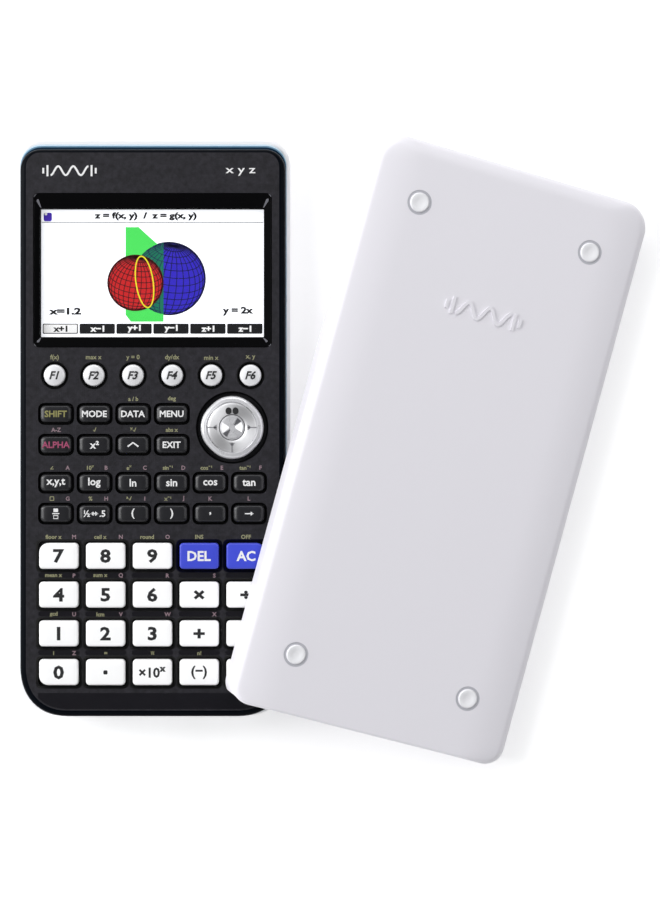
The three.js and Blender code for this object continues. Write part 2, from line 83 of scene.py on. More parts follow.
FACE_Z = FRONT_HIGH.z
PANEL_Z = FACE_Z - 1.6
FRONT_HALF_W = FRONT_HIGH.x
FRONT_TOP_Y = FRONT_HIGH.y
FRONT_END_Y = FRONT_LOW.y
FRONT_TOP_R = 7.0
BOAT_W, BOAT_L, BOAT_PULL = 15.8, 16.4, 0.62
TRIM_Z = (SPLIT_Z + 0.3, SPLIT_Z + 1.3)
SIDE_STEP = 0.35  # how far the trim ring shows outside the black shell, at its sides
TOP_STEP = 1.9
END_STEP = 0.15
FACE_ROUND = 2.0
TOP_ROUND = 0.6  # the roll at the display end, as a share of the roll at the sides

DISPLAY_Y = (WINDOW_LOW.y + WINDOW_HIGH.y) / 2
RECESS_W, RECESS_L = 77.4, 50.1
SCREEN_Y = 49.9

COVER_W, COVER_L, COVER_DEPTH = 94.0, 189.6, 13.0
COVER_WALL = 1.5
COVER_TILT, COVER_TURN = 11.8, -15.3
COVER_PLACE = Vector((91.6, -7.5, 0.3 + COVER_W / 2 * math.sin(math.radians(COVER_TILT))))


# ---- Outlines ----
def arc(cx, cy, rx, ry, start, end, steps):
    """Points on an elliptical arc, from one angle to another in degrees."""
    angles = [math.radians(start + (end - start) * i / steps) for i in range(steps + 1)]
    return [(cx + rx * math.cos(a), cy + ry * math.sin(a)) for a in angles]


def rounded(x0, x1, y0, y1, radii, steps=6):
    """A rectangle anticlockwise; radii are for its lower right, upper right, upper left, lower left."""
    lower_right, upper_right, upper_left, lower_left = [max(r, 0.01) for r in radii]
    return (
        arc(x1 - lower_right, y0 + lower_right, lower_right, lower_right, -90, 0, steps)
        + arc(x1 - upper_right, y1 - upper_right, upper_right, upper_right, 0, 90, steps)
        + arc(x0 + upper_left, y1 - upper_left, upper_left, upper_left, 90, 180, steps)
        + arc(x0 + lower_left, y0 + lower_left, lower_left, lower_left, 180, 270, steps)
    )


def rounded_at(x, y, w, l, r, steps=6):
    return rounded(x - w / 2, x + w / 2, y - l / 2, y + l / 2, (r, r, r, r), steps)


def circle(x, y, r, steps=32):
    return arc(x, y, r, r, 0, 360 * (steps - 1) / steps, steps - 1)


def rear_outline(inset):
    top, end = REAR_TOP_R - inset, REAR_END_R - inset
    w, l = HALF_W - inset, HALF_L - inset
    return rounded(-w, w, -l, l, (end, top, top, end), 14)


def bezier(p0, p1, p2, p3, steps):
    points = []
    for i in range(steps + 1):
        t = i / steps
        a, b, c, d = (1 - t) ** 3, 3 * t * (1 - t) ** 2, 3 * t * t * (1 - t), t**3
        points.append(tuple(a * p + b * q + c * r + d * s for p, q, r, s in zip(p0, p1, p2, p3)))
    return points


def front_outline(inset, top_inset=None, end_inset=None):
    """The black shell's outline; its lower corners are long soft curves."""
    top_inset = inset if top_inset is None else top_inset
    end_inset = inset if end_inset is None else end_inset
    w, top, end = FRONT_HALF_W - inset, FRONT_TOP_Y - top_inset, FRONT_END_Y + end_inset
    boat_w, boat_l = BOAT_W - inset, BOAT_L - end_inset
    in_x, in_y = w - boat_w, end + boat_l
    pull_x, pull_y = in_x + BOAT_PULL * boat_w, in_y - BOAT_PULL * boat_l
    right = bezier((in_x, end), (pull_x, end), (w, pull_y), (w, in_y), 14)
    left = [(-x, y) for x, y in reversed(right)]
    r = max(FRONT_TOP_R - inset, 1)
    return right + arc(w - r, top - r, r, r, 0, 90, 10) + arc(-w + r, top - r, r, r, 90, 180, 10) + left


def quarter_turn(steps):
    return [math.radians(90 * i / steps) for i in range(steps + 1)]


def quarter(inset0, z0, inset1, z1, steps=6):
    """(inset, z) pairs on a rounded edge that starts upright and ends level."""
    return [
        (inset0 + (inset1 - inset0) * (1 - math.cos(a)), z0 + (z1 - z0) * math.sin(a))
        for a in quarter_turn(steps)
    ]


# ---- Forms ----
class Form:
    """Corners in millimetres, faces, and a paint number for each face."""

    def __init__(self):
        self.points, self.faces, self.paint = [], [], []

    def add(self, points, faces, paint=0):
        start = len(self.points)
        self.points += [tuple(p) for p in points]
        self.faces += [[start + i for i in face] for face in faces]
        self.paint += [paint] * len(faces)
        return self

    def loft(self, rings, paint=0, closed=False):
        """A skin through rings of equally many points, each (z, outline), or a full 3-D outline.

        A closed one joins its last ring to its first; any other has a cap at each end.
        """
        rings = [[(x, y, ring[0]) for x, y in ring[1]] if isinstance(ring, tuple) else ring for ring in rings]
        n, count = len(rings[0]), len(rings)
        faces = []
        for level in range(count if closed else count - 1):
            low, high = level * n, (level + 1) % count * n
            faces += [[low + i, low + (i + 1) % n, high + (i + 1) % n, high + i] for i in range(n)]
        if not closed:
            faces += [list(reversed(range(n))), [(count - 1) * n + i for i in range(n)]]
        return self.add([p for ring in rings for p in ring], faces, paint)

    def prism(self, outline, z0, z1, paint=0):
        return self.loft([(z0, outline), (z1, outline)], paint)

    def block(self, x0, x1, y0, y1, z0, z1, r=0.2):
        """A box with rounded upright corners and eased top and bottom edges."""
        ease = min(r, (z1 - z0) / 3) / 2
        full = rounded(x0, x1, y0, y1, (r,) * 4, 3)
        small = rounded(x0 + ease, x1 - ease, y0 + ease, y1 - ease, (r,) * 4, 3)
        return self.loft([(z0, small), (z0 + ease, full), (z1 - ease, full), (z1, small)])

    def block_at(self, x, y, w, l, z0, z1, r):
        return self.block(x - w / 2, x + w / 2, y - l / 2, y + l / 2, z0, z1, r)

    def turned(self, matrix):
        self.points = [tuple(matrix @ Vector(p)) for p in self.points]
        return self

    def join(self, other, paint=None):
        start = len(self.points)
        self.points += other.points
        self.faces += [[start + i for i in face] for face in other.faces]
        self.paint += other.paint if paint is None else [paint] * len(other.faces)
        return self


def loose_object(form, name, paints=()):
    mesh = bpy.data.meshes.new(name)
    mesh.from_pydata([[c * MM for c in p] for p in form.points], [], form.faces)
    mesh.polygons.foreach_set("material_index", form.paint)
    mesh.validate()
    mesh.update()
    for paint in paints:
        mesh.materials.append(paint)
    made = bpy.data.objects.new(name, mesh)
    bpy.context.scene.collection.objects.link(made)
    return made


def baked(made):
    """An object's mesh with its modifiers applied, or a text's mesh."""
    bpy.context.view_layer.update()
    return bpy.data.meshes.new_from_object(made.evaluated_get(bpy.context.evaluated_depsgraph_get()))


def finish_shading(made, angle, weighted=True):
    mesh = made.data
    mesh.polygons.foreach_set("use_smooth", [True] * len(mesh.polygons))
    mesh.set_sharp_from_angle(angle=math.radians(angle))
    if weighted:
        even = made.modifiers.new("even_normals", "WEIGHTED_NORMAL")
        even.keep_sharp = True


def combine(made, operation, form):
    """Joins a form to an object, or cuts it out, and keeps the paint of both."""
    tool = loose_object(form, f"{made.name}_tool", made.data.materials)
    step = made.modifiers.new("combine", "BOOLEAN")
    step.operation, step.solver, step.object = operation, "MANIFOLD", tool
    result = baked(made)
    made.modifiers.clear()
    before, made.data = made.data, result
    bpy.data.meshes.remove(before)
    bpy.data.objects.remove(tool)


def carve(made, *forms):
    """Cuts forms out of an object, one after another."""
    for form in forms:
        combine(made, "DIFFERENCE", form)


def build_on(made, *forms):
    for form in forms:
        combine(made, "UNION", form)


def dress(made, body, replaces=(), angle=32, weighted=True):
    """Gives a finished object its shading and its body."""
    finish_shading(made, angle, weighted)
    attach(made, body)
    if replaces:
        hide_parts(*replaces)
    return made


def piece(name, form, body, paints, replaces=(), angle=32, weighted=True):
    return dress(loose_object(form, name, paints), body, replaces, angle, weighted)


def paint_faces(made, number, test):
    """Paints each face whose centre, in millimetres, passes a test."""
    for face in made.data.polygons:
        if test(face.center / MM):
            face.material_index = number


def words(text, size, depth=0.03, weight=0.0, slant=0.0, squeeze=1.0):
    """Text as a flat form centred on the origin; size is the height of its capitals."""
    curve = bpy.data.curves.new("words", "FONT")
    curve.body, curve.size, curve.offset, curve.shear = text, size / CAPITAL, weight, slant
    curve.align_x, curve.align_y = "CENTER", "CENTER"
    curve.extrude, curve.resolution_u = depth / 2, 2
    typed = bpy.data.objects.new("words", curve)
    bpy.context.scene.collection.objects.link(typed)
    mesh = baked(typed)
    corners = [v.co.copy() for v in mesh.vertices]
    faces = [list(p.vertices) for p in mesh.polygons]
    bpy.data.objects.remove(typed)
    bpy.data.curves.remove(curve)
    bpy.data.meshes.remove(mesh)
    mid_x = (min(c.x for c in corners) + max(c.x for c in corners)) / 2
    mid_y = (min(c.y for c in corners) + max(c.y for c in corners)) / 2
    return Form().add([((c.x - mid_x) * squeeze, c.y - mid_y, c.z) for c in corners], faces)


def placed(form, x, y, z, turn=0.0):
    return form.turned(Matrix.Translation((x, y, z)) @ Matrix.Rotation(math.radians(turn), 4, "Z"))


# ---- Finishes ----
def srgb(red, green, blue):
    """A colour as it looks on a screen, 0 to 255, in the linear values that shaders take."""
    shares = [c / 255 for c in (red, green, blue)]
    return tuple(c / 12.92 if c <= 0.04 else ((c + 0.055) / 1.055) ** 2.4 for c in shares) + (1.0,)


def scaled(colour, amount):
    return tuple(min(c * amount, 1.0) for c in colour[:3]) + (1.0,)


class Tree:
    """A node tree under construction. Its inputs take values, or outputs of other nodes."""

    def __init__(self, owner):
        owner.use_nodes = True
        self.nodes, self.links = owner.node_tree.nodes, owner.node_tree.links

    def feed(self, node, inputs):
        for socket, value in inputs.items():
            if isinstance(value, bpy.types.NodeSocket):
                self.links.new(value, node.inputs[socket])
            else:
                node.inputs[socket].default_value = value

    def add(self, kind, output, inputs=(), **settings):
        """Makes a node and gives one of its outputs."""
        node = self.nodes.new("ShaderNode" + kind)
        for name, value in settings.items():
            setattr(node, name, value)
        self.feed(node, dict(inputs))
        return node.outputs[output]

    def ramp(self, value, from_min, from_max, to_min, to_max, **settings):
        limits = {"From Min": from_min, "From Max": from_max, "To Min": to_min, "To Max": to_max}
        return self.add("MapRange", "Result", {"Value": value, **limits}, **settings)

    def noise(self, place, size, detail=3.0):
        return self.add("TexNoise", "Fac", {"Scale": 1 / (size * MM), "Detail": detail, "Vector": place})


LEAST_ROUGHNESS, COAT_ROUGHNESS = 0.02, 0.06


def finish_of(name, rgb, roughness, shade=(9.0, 0.012), gloss=(4.0, 0.05), grain=None, dots=None,
              metallic=0.0, specular=0.5, coat=0.0, glow=0.0, alpha=1.0):
    """A moulded, printed or metal finish.

    shade and gloss are (size in mm, share) of slow changes in its colour and roughness; grain and dots
    are (size, depth) in mm of its surface: an irregular grain, or small round bumps side by side.
    """
    made = bpy.data.materials.new(name)
    tree, colour = Tree(made), srgb(*rgb)
    place = tree.add("TexCoord", "Object")
    ends = {"A": scaled(colour, 1 - shade[1]), "B": scaled(colour, 1 + shade[1])}
    tone = tree.add("Mix", "Result", {"Factor": tree.noise(place, shade[0]), **ends}, data_type="RGBA")
    least, most = max(roughness - gloss[1], LEAST_ROUGHNESS), roughness + gloss[1]
    polish = tree.ramp(tree.noise(place, gloss[0]), 0, 1, least, most)
    inputs = {
        "Base Color": tone, "Roughness": polish, "Metallic": metallic, "Specular IOR Level": specular,
        "Coat Weight": coat, "Coat Roughness": COAT_ROUGHNESS, "Alpha": alpha, "Emission Strength": glow,
    }
    if glow:
        inputs["Emission Color"] = colour
    if grain or dots:
        size, depth = grain or dots
        height = tree.noise(place, size, 2.0) if grain else tree.add(
            "TexVoronoi", "Distance", {"Scale": 1 / (size * MM), "Randomness": 0.35, "Vector": place})
        relief = {"Distance": depth * MM, "Height": height}
        inputs["Normal"] = tree.add("Bump", "Normal", relief, invert=not grain)
    tree.feed(tree.nodes["Principled BSDF"], inputs)
    return made


# The pad's sunk ring has a painted sheen: its colour is lighter along this axis and darker across it.
SHEEN_AXIS = math.radians(145)


def paint_sheen(made, centre, low, high):
    """Turned metal with a painted sheen: two soft lobes of lighter colour cross its centre, between two
    shares of its colour.
    """
    tree = Tree(made)
    shader = tree.nodes["Principled BSDF"]
    middle = (centre.x * MM, centre.y * MM, 0)
    place = tree.add("TexCoord", "Object")
    offset = tree.add("VectorMath", "Vector", {0: place, 1: middle}, operation="SUBTRACT")
    across, along = [tree.add("SeparateXYZ", axis, {"Vector": offset}) for axis in "XY"]
    angle = tree.add("Math", "Value", {0: along, 1: across}, operation="ARCTAN2")
    doubled = tree.add("Math", "Value", {0: angle, 1: 2, 2: -2 * SHEEN_AXIS}, operation="MULTIPLY_ADD")
    wave = tree.add("Math", "Value", {0: doubled}, operation="COSINE")
    inputs = {0: shader.inputs["Base Color"].links[0].from_socket, "Scale": tree.ramp(wave, -1, 1, low, high)}
    tree.feed(shader, {"Base Color": tree.add("VectorMath", "Vector", inputs, operation="SCALE")})


SHELL = finish_of("shell_white_satin", (240, 240, 242), 0.42, grain=(0.5, 0.006))
COVER_SHELL = finish_of("cover_white_satin", (233, 231, 237), 0.48, shade=(30.0, 0.004), grain=(0.6, 0.006))
COVER_FOOT = finish_of("cover_foot_white", (240, 240, 243), 0.45, grain=(0.5, 0.004))
# The grey in the groove round each cover foot is painted shade.
COVER_GROOVE_SHADE = finish_of("cover_groove", (190, 190, 197), 0.6, grain=(0.6, 0.006))
FACE = finish_of("face_black_textured", (32, 31, 36), 0.5, shade=(1.5, 0.9), dots=(0.62, 0.05), specular=0.28)
FACE_SMOOTH = finish_of("face_black_smooth", (20, 19, 24), 0.33, grain=(0.8, 0.003), specular=0.3)
FACE_GLOSS = finish_of("face_black_gloss", (6, 9, 15), 0.3, gloss=(5.0, 0.03), specular=0.03)
# The trim's pale blue is a painted highlight on its outer edge, and its deep blue is painted shade where it
# meets the black shell.
TRIM_HIGHLIGHT = finish_of("trim_pale_edge", (176, 204, 220), 0.28, coat=0.3)
TRIM = finish_of("trim_blue_translucent", (84, 124, 152), 0.28, coat=0.3)
TRIM_SHADE = finish_of("trim_deep_blue", (12, 38, 58), 0.3, specular=0.3)
WELL = finish_of("key_well_black", (7, 7, 8), 0.3, specular=0.25)
KEY_BLACK = finish_of("key_black_gloss", (32, 32, 35), 0.3, gloss=(3.0, 0.04))
# Painted shade: the key flanges are the keys' own plastic, painted near black for the shadow in the gap under
# the face.
KEY_SKIRT_SHADE = finish_of("key_skirt_black", (14, 14, 15), 0.5, specular=0.2)
KEY_WHITE = finish_of("key_white_satin", (250, 250, 250), 0.38, grain=(0.5, 0.004))
KEY_BLUE = finish_of("key_blue_satin", (62, 74, 200), 0.34, grain=(0.5, 0.004))
KEY_SILVER = finish_of("key_silver_paint", (234, 234, 236), 0.3, metallic=0.2, grain=(0.25, 0.003))
PAD_SILVER = finish_of("pad_silver_paint", (216, 216, 219), 0.28, metallic=0.4, grain=(0.25, 0.003))
# Painted light on the pad's silver: a dark painted shade on its side in the well, a near-white painted
# highlight and a grey painted shade for the hub's petals and rim.
PAD_SIDE_SHADE = finish_of("pad_dark_ring", (46, 46, 50), 0.3)
PAD_HIGHLIGHT = finish_of("pad_bright_facet", (252, 252, 253), 0.35)
PAD_SHADE = finish_of("pad_spun_shade", (104, 104, 108), 0.3, metallic=0.3)
INK_WHITE = finish_of("ink_white", (226, 226, 226), 0.55)
INK_BLACK = finish_of("ink_black", (24, 24, 26), 0.5)
INK_YELLOW = finish_of("ink_yellow", (134, 130, 78), 0.55)
INK_ROSE = finish_of("ink_rose", (150, 62, 96), 0.55)
INK_LABEL = finish_of("ink_label_yellow", (138, 137, 104), 0.55)
INK_LETTER = finish_of("ink_label_rose", (134, 112, 120), 0.55)
INK_GREY = finish_of("ink_grey", (128, 128, 132), 0.55)
GLASS = finish_of("window_clear", (60, 62, 64), 0.05, shade=(20, 0.01), gloss=(8, 0.02), alpha=0.05)
WINDOW_BORDER = finish_of("window_black_print", (6, 6, 7), 0.12, gloss=(6.0, 0.03), specular=0.3)
# The pale grey on the bezel's mitre facets is a painted highlight on the glossy black.
MITRE_HIGHLIGHT = finish_of("bezel_mitre_facet", (104, 104, 110), 0.3)
LCD_FRAME = finish_of("lcd_frame_steel", (150, 152, 156), 0.35, metallic=0.9)
SCREEN = finish_of("screen_white", (244, 246, 250), 0.35, glow=0.7, shade=(12, 0.01))
METAL = finish_of("contact_nickel", (196, 194, 188), 0.28, metallic=1.0)
RUBBER = finish_of("foot_rubber", (96, 97, 102), 0.7, grain=(0.4, 0.01))
MEMBRANE = finish_of("membrane_silicone", (150, 151, 154), 0.6, grain=(0.8, 0.005))
BOARD = finish_of("board_green_mask", (24, 92, 50), 0.32, shade=(2.2, 0.18), grain=(1.6, 0.008))
CHIP = finish_of("chip_epoxy", (30, 30, 32), 0.6, grain=(0.3, 0.006))
RIBBON = finish_of("ribbon_amber_film", (176, 112, 34), 0.3, shade=(1.0, 0.12))
CELL_DARK = finish_of("cell_sleeve_dark", (30, 31, 36), 0.22, coat=0.4)
CELL_COPPER = finish_of("cell_sleeve_copper", (196, 128, 70), 0.26, metallic=0.7, coat=0.4)


# ---- Forms shared by several pieces ----
def turned_disc(x, y, profile, steps=32):
    """A form of revolution about an upright axis; the profile is (z, radius) pairs."""
    return Form().loft([(z, circle(x, y, max(r, 0.01), steps)) for z, r in profile])


def ribbon(path, width, z0, z1, closed=False):
    """A flat strip of constant width along a path, from one height to another."""
    count = len(path)
    rings = []
    for i, (x, y) in enumerate(path):
        ahead = path[(i + 1) % count] if closed or i < count - 1 else path[i]
        behind = path[i - 1] if closed or i > 0 else path[i]
        dx, dy = ahead[0] - behind[0], ahead[1] - behind[1]
        long = math.hypot(dx, dy) or 1.0
        nx, ny = -dy / long * width / 2, dx / long * width / 2
        rings.append([(x + nx, y + ny, z0), (x - nx, y - ny, z0), (x - nx, y - ny, z1), (x + nx, y + ny, z1)])
    return Form().loft(rings, closed=closed)


def line(x0, y0, x1, y1, width, z0, z1):
    return ribbon([(x0, y0), (x1, y1)], width, z0, z1)


def joined(*forms):
    whole = Form()
    for form in forms:
        whole.join(form)
    return whole


def tunnel(sections):
    """A form along Y, from (y, outline) pairs; the outlines are in X and Z."""
    return Form().loft([[(x, y, z) for x, z in outline] for y, outline in sections])


def posts(places, profile, steps=24):
    return joined(*[turned_disc(x, y, profile, steps) for x, y in places])


def both_sides(places):
    return [(side * x, y) for x, y in places for side in (-1, 1)]


# ---- Keys: places from the frame ----
KEY_FLANGE = 0.9
FLANGE_Z = (14.5, 15.3)
SHORTEST_LARGE_KEY = 9  # with its flange


def key_length(node):
    low, high = frame_box(node)
    return high.y - low.y


KEYS = sorted(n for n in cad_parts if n.startswith("key_"))
ROUND_KEYS = [n for n in KEYS if n[4:] in ("f1", "f2", "f3", "f4", "f5", "f6")]
LARGE_KEYS = [n for n in KEYS if n not in ROUND_KEYS and key_length(n) > SHORTEST_LARGE_KEY]
SMALL_KEYS = [n for n in KEYS if n not in ROUND_KEYS and n not in LARGE_KEYS]
ROUND_R, ROUND_HOLE, ROUND_BRIM = 3.5, 4.2, 4.55
PAD = "tilt_pad"
PAD_AT, PAD_TOP = frame_centre(PAD), frame_box(PAD)[1].z
# The sunk ring's silver, with a painted sheen.
PAD_SHEEN = finish_of("pad_spun_silver", (232, 232, 234), 0.3, metallic=0.25, grain=(0.25, 0.002))
# Paints the sheen's lighter and darker lobes into the ring's colour.
paint_sheen(PAD_SHEEN, PAD_AT, 0.45, 1.15)
PAD_R, PAD_HOLE, PAD_BRIM = 10.2, 11.2, 11.75
HOLE_GAP, BRIM_GAP, SMALL_BRIM_GAP = 0.5, 1.2, 0.85
STRIP_DEPTH, STRIPS_FROM_Y = 0.12, -45
SMALL_R, LARGE_R = 1.4, 1.2
LARGE_KEY_L = 8.4
TEXTURED, GLOSSY, IN_WELL, SMOOTH = range(4)  # the front shell's paints


def key_plan(node, grow, corner):
    """A key cap's outline in plan, grown by a margin."""
    low, high = frame_box(node)
    inset = KEY_FLANGE - grow
    return rounded(low.x + inset, high.x - inset, low.y + inset, high.y - inset, (max(corner, 0.2),) * 4, 4)


def key_wells():
    """What the front shell loses round its keys: a sloping brim, then a hole."""
    cutters = Form()

    def sink(depth, hole, brim):
        rings = [(PANEL_Z - 1.5, hole), (FACE_Z - depth, hole), (FACE_Z, brim), (FACE_Z + 1, brim)]
        cutters.loft(rings, IN_WELL)

    for node in SMALL_KEYS + LARGE_KEYS:
        small = node in SMALL_KEYS
        corner, depth, gap = (SMALL_R, 0.9, SMALL_BRIM_GAP) if small else (LARGE_R, 0.7, BRIM_GAP)
        sink(depth, key_plan(node, HOLE_GAP, corner + 0.3), key_plan(node, gap, corner + 0.6))
    for node in ROUND_KEYS:
        at = frame_centre(node)
        sink(0.7, circle(at.x, at.y, ROUND_HOLE), circle(at.x, at.y, ROUND_BRIM))
    sink(0.8, circle(PAD_AT.x, PAD_AT.y, PAD_HOLE, 64), circle(PAD_AT.x, PAD_AT.y, PAD_BRIM, 64))
    return cutters


def number_grid():
    """Column centres and row centres of the number keys."""
    centres = [frame_centre(n) for n in LARGE_KEYS]
    return sorted({round(c.x, 2) for c in centres}), sorted({round(c.y, 2) for c in centres})


def smooth_strips():
    """Shallow smooth channels between one row of number keys and the next."""
    columns, rows = number_grid()
    cutters = Form()
    for lower, upper in zip(rows, rows[1:]):
        for x in columns:
            strip = rounded_at(x, (lower + upper) / 2, 13.4, 1.65, 0.8, 4)
            cutters.prism(strip, FACE_Z - STRIP_DEPTH, FACE_Z + 0.5, SMOOTH)
    return cutters


def lower_band():
    """The smooth band under the last row of keys."""
    top = number_grid()[1][0] - LARGE_KEY_L / 2 - 2.6
    border = FACE_ROUND + 0.5
    outline = front_outline(SIDE_STEP + border, TOP_STEP + border, END_STEP + border)
    lower = [(x, y) for x, y in outline if y < top - 0.5]
    right = [p for p in lower if p[0] > 0]
    left = [p for p in lower if p[0] < 0]
    x_top = right[-1][0]
    return Form().prism(left + right + [(x_top, top), (-x_top, top)], FACE_Z - 0.05, FACE_Z + 0.5, SMOOTH)


# ---- Front shell ----
SCREW_PLACES = both_sides([(36, 84), (36.6, -34.7), (24, -87.2)])


def front_shell():
    def side(inset):
        return front_outline(SIDE_STEP + inset, TOP_STEP + inset * TOP_ROUND, END_STEP + inset)

    tongue, foot_z = front_outline(1.2, 1.2, 2.3), TRIM_Z[0] + 0.2
    rings = [(9.0, tongue), (foot_z, tongue), (foot_z, side(0))]
    rings += [(z, side(inset)) for inset, z in quarter(0, FACE_Z - FACE_ROUND, FACE_ROUND, FACE_Z, 7)]
    form = Form().loft(rings, GLOSSY)
    form.paint[-1] = TEXTURED
    made = loose_object(form, "front_shell", [FACE, FACE_GLOSS, WELL, FACE_SMOOTH])
    carve(made, Form().prism(front_outline(2.6, 2.6, 3.7), 8.0, PANEL_Z, GLOSSY))
    collar_plan = rounded_at(0, DISPLAY_Y, RECESS_W + 3, RECESS_L + 3, 2.5)
    collar = Form().prism(collar_plan, 15.0, PANEL_Z + 0.4, GLOSSY)
    build_on(made, collar, posts(SCREW_PLACES, [(9.6, 1.5), (10.0, 1.8), (PANEL_Z + 0.4, 1.8)]))
    recess = Form().prism(rounded_at(0, DISPLAY_Y, RECESS_W, RECESS_L, 2.0), 15.5, FACE_Z + 1, GLOSSY)
    opening = Form().prism(rounded_at(0, SCREEN_Y, 73, 42.2, 1.0), 14.0, 15.6, GLOSSY)
    carve(made, recess, opening, key_wells(), smooth_strips(), lower_band())
    dress(made, CALCULATOR, ["front_housing"], angle=28)


def trim_ring():
    """The translucent blue ring between the shells, with a pale painted highlight at its outer edge and dark
    painted shade where it meets the black.
    """
    (z0, z1), under = TRIM_Z, front_outline(1.7, 3.4, 1.2)
    # pale paints the painted highlight and deep the painted shade; middle is the ring's own blue.
    pale, middle, deep = range(3)
    zones = [
        (z0, under, deep), (z0, front_outline(0.2), deep), (z0 + 0.2, front_outline(0), pale),
        (z1 - 0.4, front_outline(0), pale), (z1 - 0.2, front_outline(0.1, 0.45, 0.05), middle),
        (z1, front_outline(0.28, 1.0, 0.1), deep), (z1, under, deep),
    ]
    form = Form().loft([zone[:2] for zone in zones], closed=True)
    form.paint = [paint for _, outline, paint in zones for _ in outline]
    piece("trim_ring", form, CALCULATOR, [TRIM_HIGHLIGHT, TRIM, TRIM_SHADE], angle=50)


# ---- Rear shell ----
FOOT_PLACES = both_sides([(34, 74), (34, -72)])
BAY_HALF_W, BAY_Y = 23.0, (23.0, 77.0)
END_Y = -HALF_L
USB_X, JACK_X, JACK_Z = 14.0, -14.0, 6.6
HOOK_XS = (-15, 15)


def rear_shell():
    soft = [(BACK_ROUND * (1 - math.sin(a)), BACK_Z + BACK_ROUND * (1 - math.cos(a)))
            for a in quarter_turn(7)]
    rings = [(z, rear_outline(inset)) for inset, z in soft + quarter(0, 9.7, 1.3, SPLIT_Z, 6)]
    made = loose_object(Form().loft(rings), "rear_shell", [SHELL])
    carve(made, Form().prism(rear_outline(REAR_WALL), FLOOR_TOP, RIM_Z),
          Form().prism(front_outline(0.9, 0.9, 2.0), RIM_Z - 0.05, SPLIT_Z + 1))
    (y0, y1), x = BAY_Y, BAY_HALF_W
    build_on(made, Form().block(-x - 1.2, x + 1.2, y0 - 1.2, y1 + 1.2, FLOOR_TOP - 0.3, 10.0, 0.8),
             posts(SCREW_PLACES, [(FLOOR_TOP - 0.3, 2.9), (3.0, 2.6), (9.1, 2.6), (9.3, 2.4)]))
    bay = Form().prism(rounded(-x, x, y0, y1, (1.5,) * 4), FLOOR_TOP, 12.0)
    doorway = Form().prism(rounded(-x + 0.3, x - 0.3, y0 + 0.3, y1 - 0.3, (1.2,) * 4), -1, FLOOR_TOP + 0.5)
    hook_slots = Form()
    for x_hook in HOOK_XS:
        hook_slots.block(x_hook - 4.1, x_hook + 4.1, y0 - 2, y0 + 1, FLOOR_TOP - 0.01, 5.3, 0.1)
    groove = joined(*[tunnel([(y, [
        (side * (HALF_W + 1), 7.3), (side * (HALF_W - 1.1), 7.6),
        (side * (HALF_W - 1.1), 9.2), (side * (HALF_W + 1), 9.5),
    ][::side]) for y in (END_Y + REAR_END_R, HALF_L + 1)]) for side in (-1, 1)])
    usb = tunnel([(y, rounded_at(USB_X, 6.9, 9.2, 4.2, 1.0, 4)) for y in (END_Y + REAR_WALL + 1, END_Y - 1)])
    jack = tunnel([(END_Y + y, circle(JACK_X, JACK_Z, r, 28))
                   for y, r in ((REAR_WALL + 1, 1.9), (0.5, 1.9), (-1, 2.6))])
    reset = turned_disc(12, 8, [(-1, 0.9), (1.0, 0.7), (FLOOR_TOP + 1, 0.7)], 20)
    label = Form().prism(rounded_at(0, -30, 46, 22, 2.0), -1, BACK_Z + 0.15)
    carve(made, bay, doorway, hook_slots, posts(SCREW_PLACES, [(-1, 2.1), (BACK_Z + 0.3, 1.9), (4.0, 1.8)]),
          posts(FOOT_PLACES, [(-1, 3.75), (BACK_Z + 0.7, 3.6)]), groove, usb.join(jack), reset.join(label))
    dress(made, CALCULATOR, ["rear_housing"], angle=35)


def foot_pads():
    profile = [(0.0, 2.6), (0.12, 3.05), (0.4, 3.3), (1.15, 3.3)]
    piece("foot_pads", posts(FOOT_PLACES, profile, 36), CALCULATOR, [RUBBER])


def case_screws():
    """Screws in the holes of the back, each with a cross recess; plain, with no finish of their own."""
    heads = posts(SCREW_PLACES, [(2.55, 0.9), (2.7, 1.4), (3.1, 1.6), (3.9, 1.6), (4.1, 0.9)], 28)
    made = loose_object(heads, "case_screws")
    for w, l in ((1.9, 0.4), (0.4, 1.9)):
        carve(made, joined(*[Form().block_at(x, y, w, l, 2.2, 3.2, 0.08) for x, y in SCREW_PLACES]))
    dress(made, CALCULATOR)


# ---- Display ----
BEZEL_TOP, BEZEL_LOW = FACE_Z - 0.05, WINDOW_HIGH.z + 0.02
SCREEN_X = (-36.1, 35.8)
SCREEN_Y_EDGES = (29.4, 70.4)
MITRE_W, MITRE_REACH = 0.9, 0.92


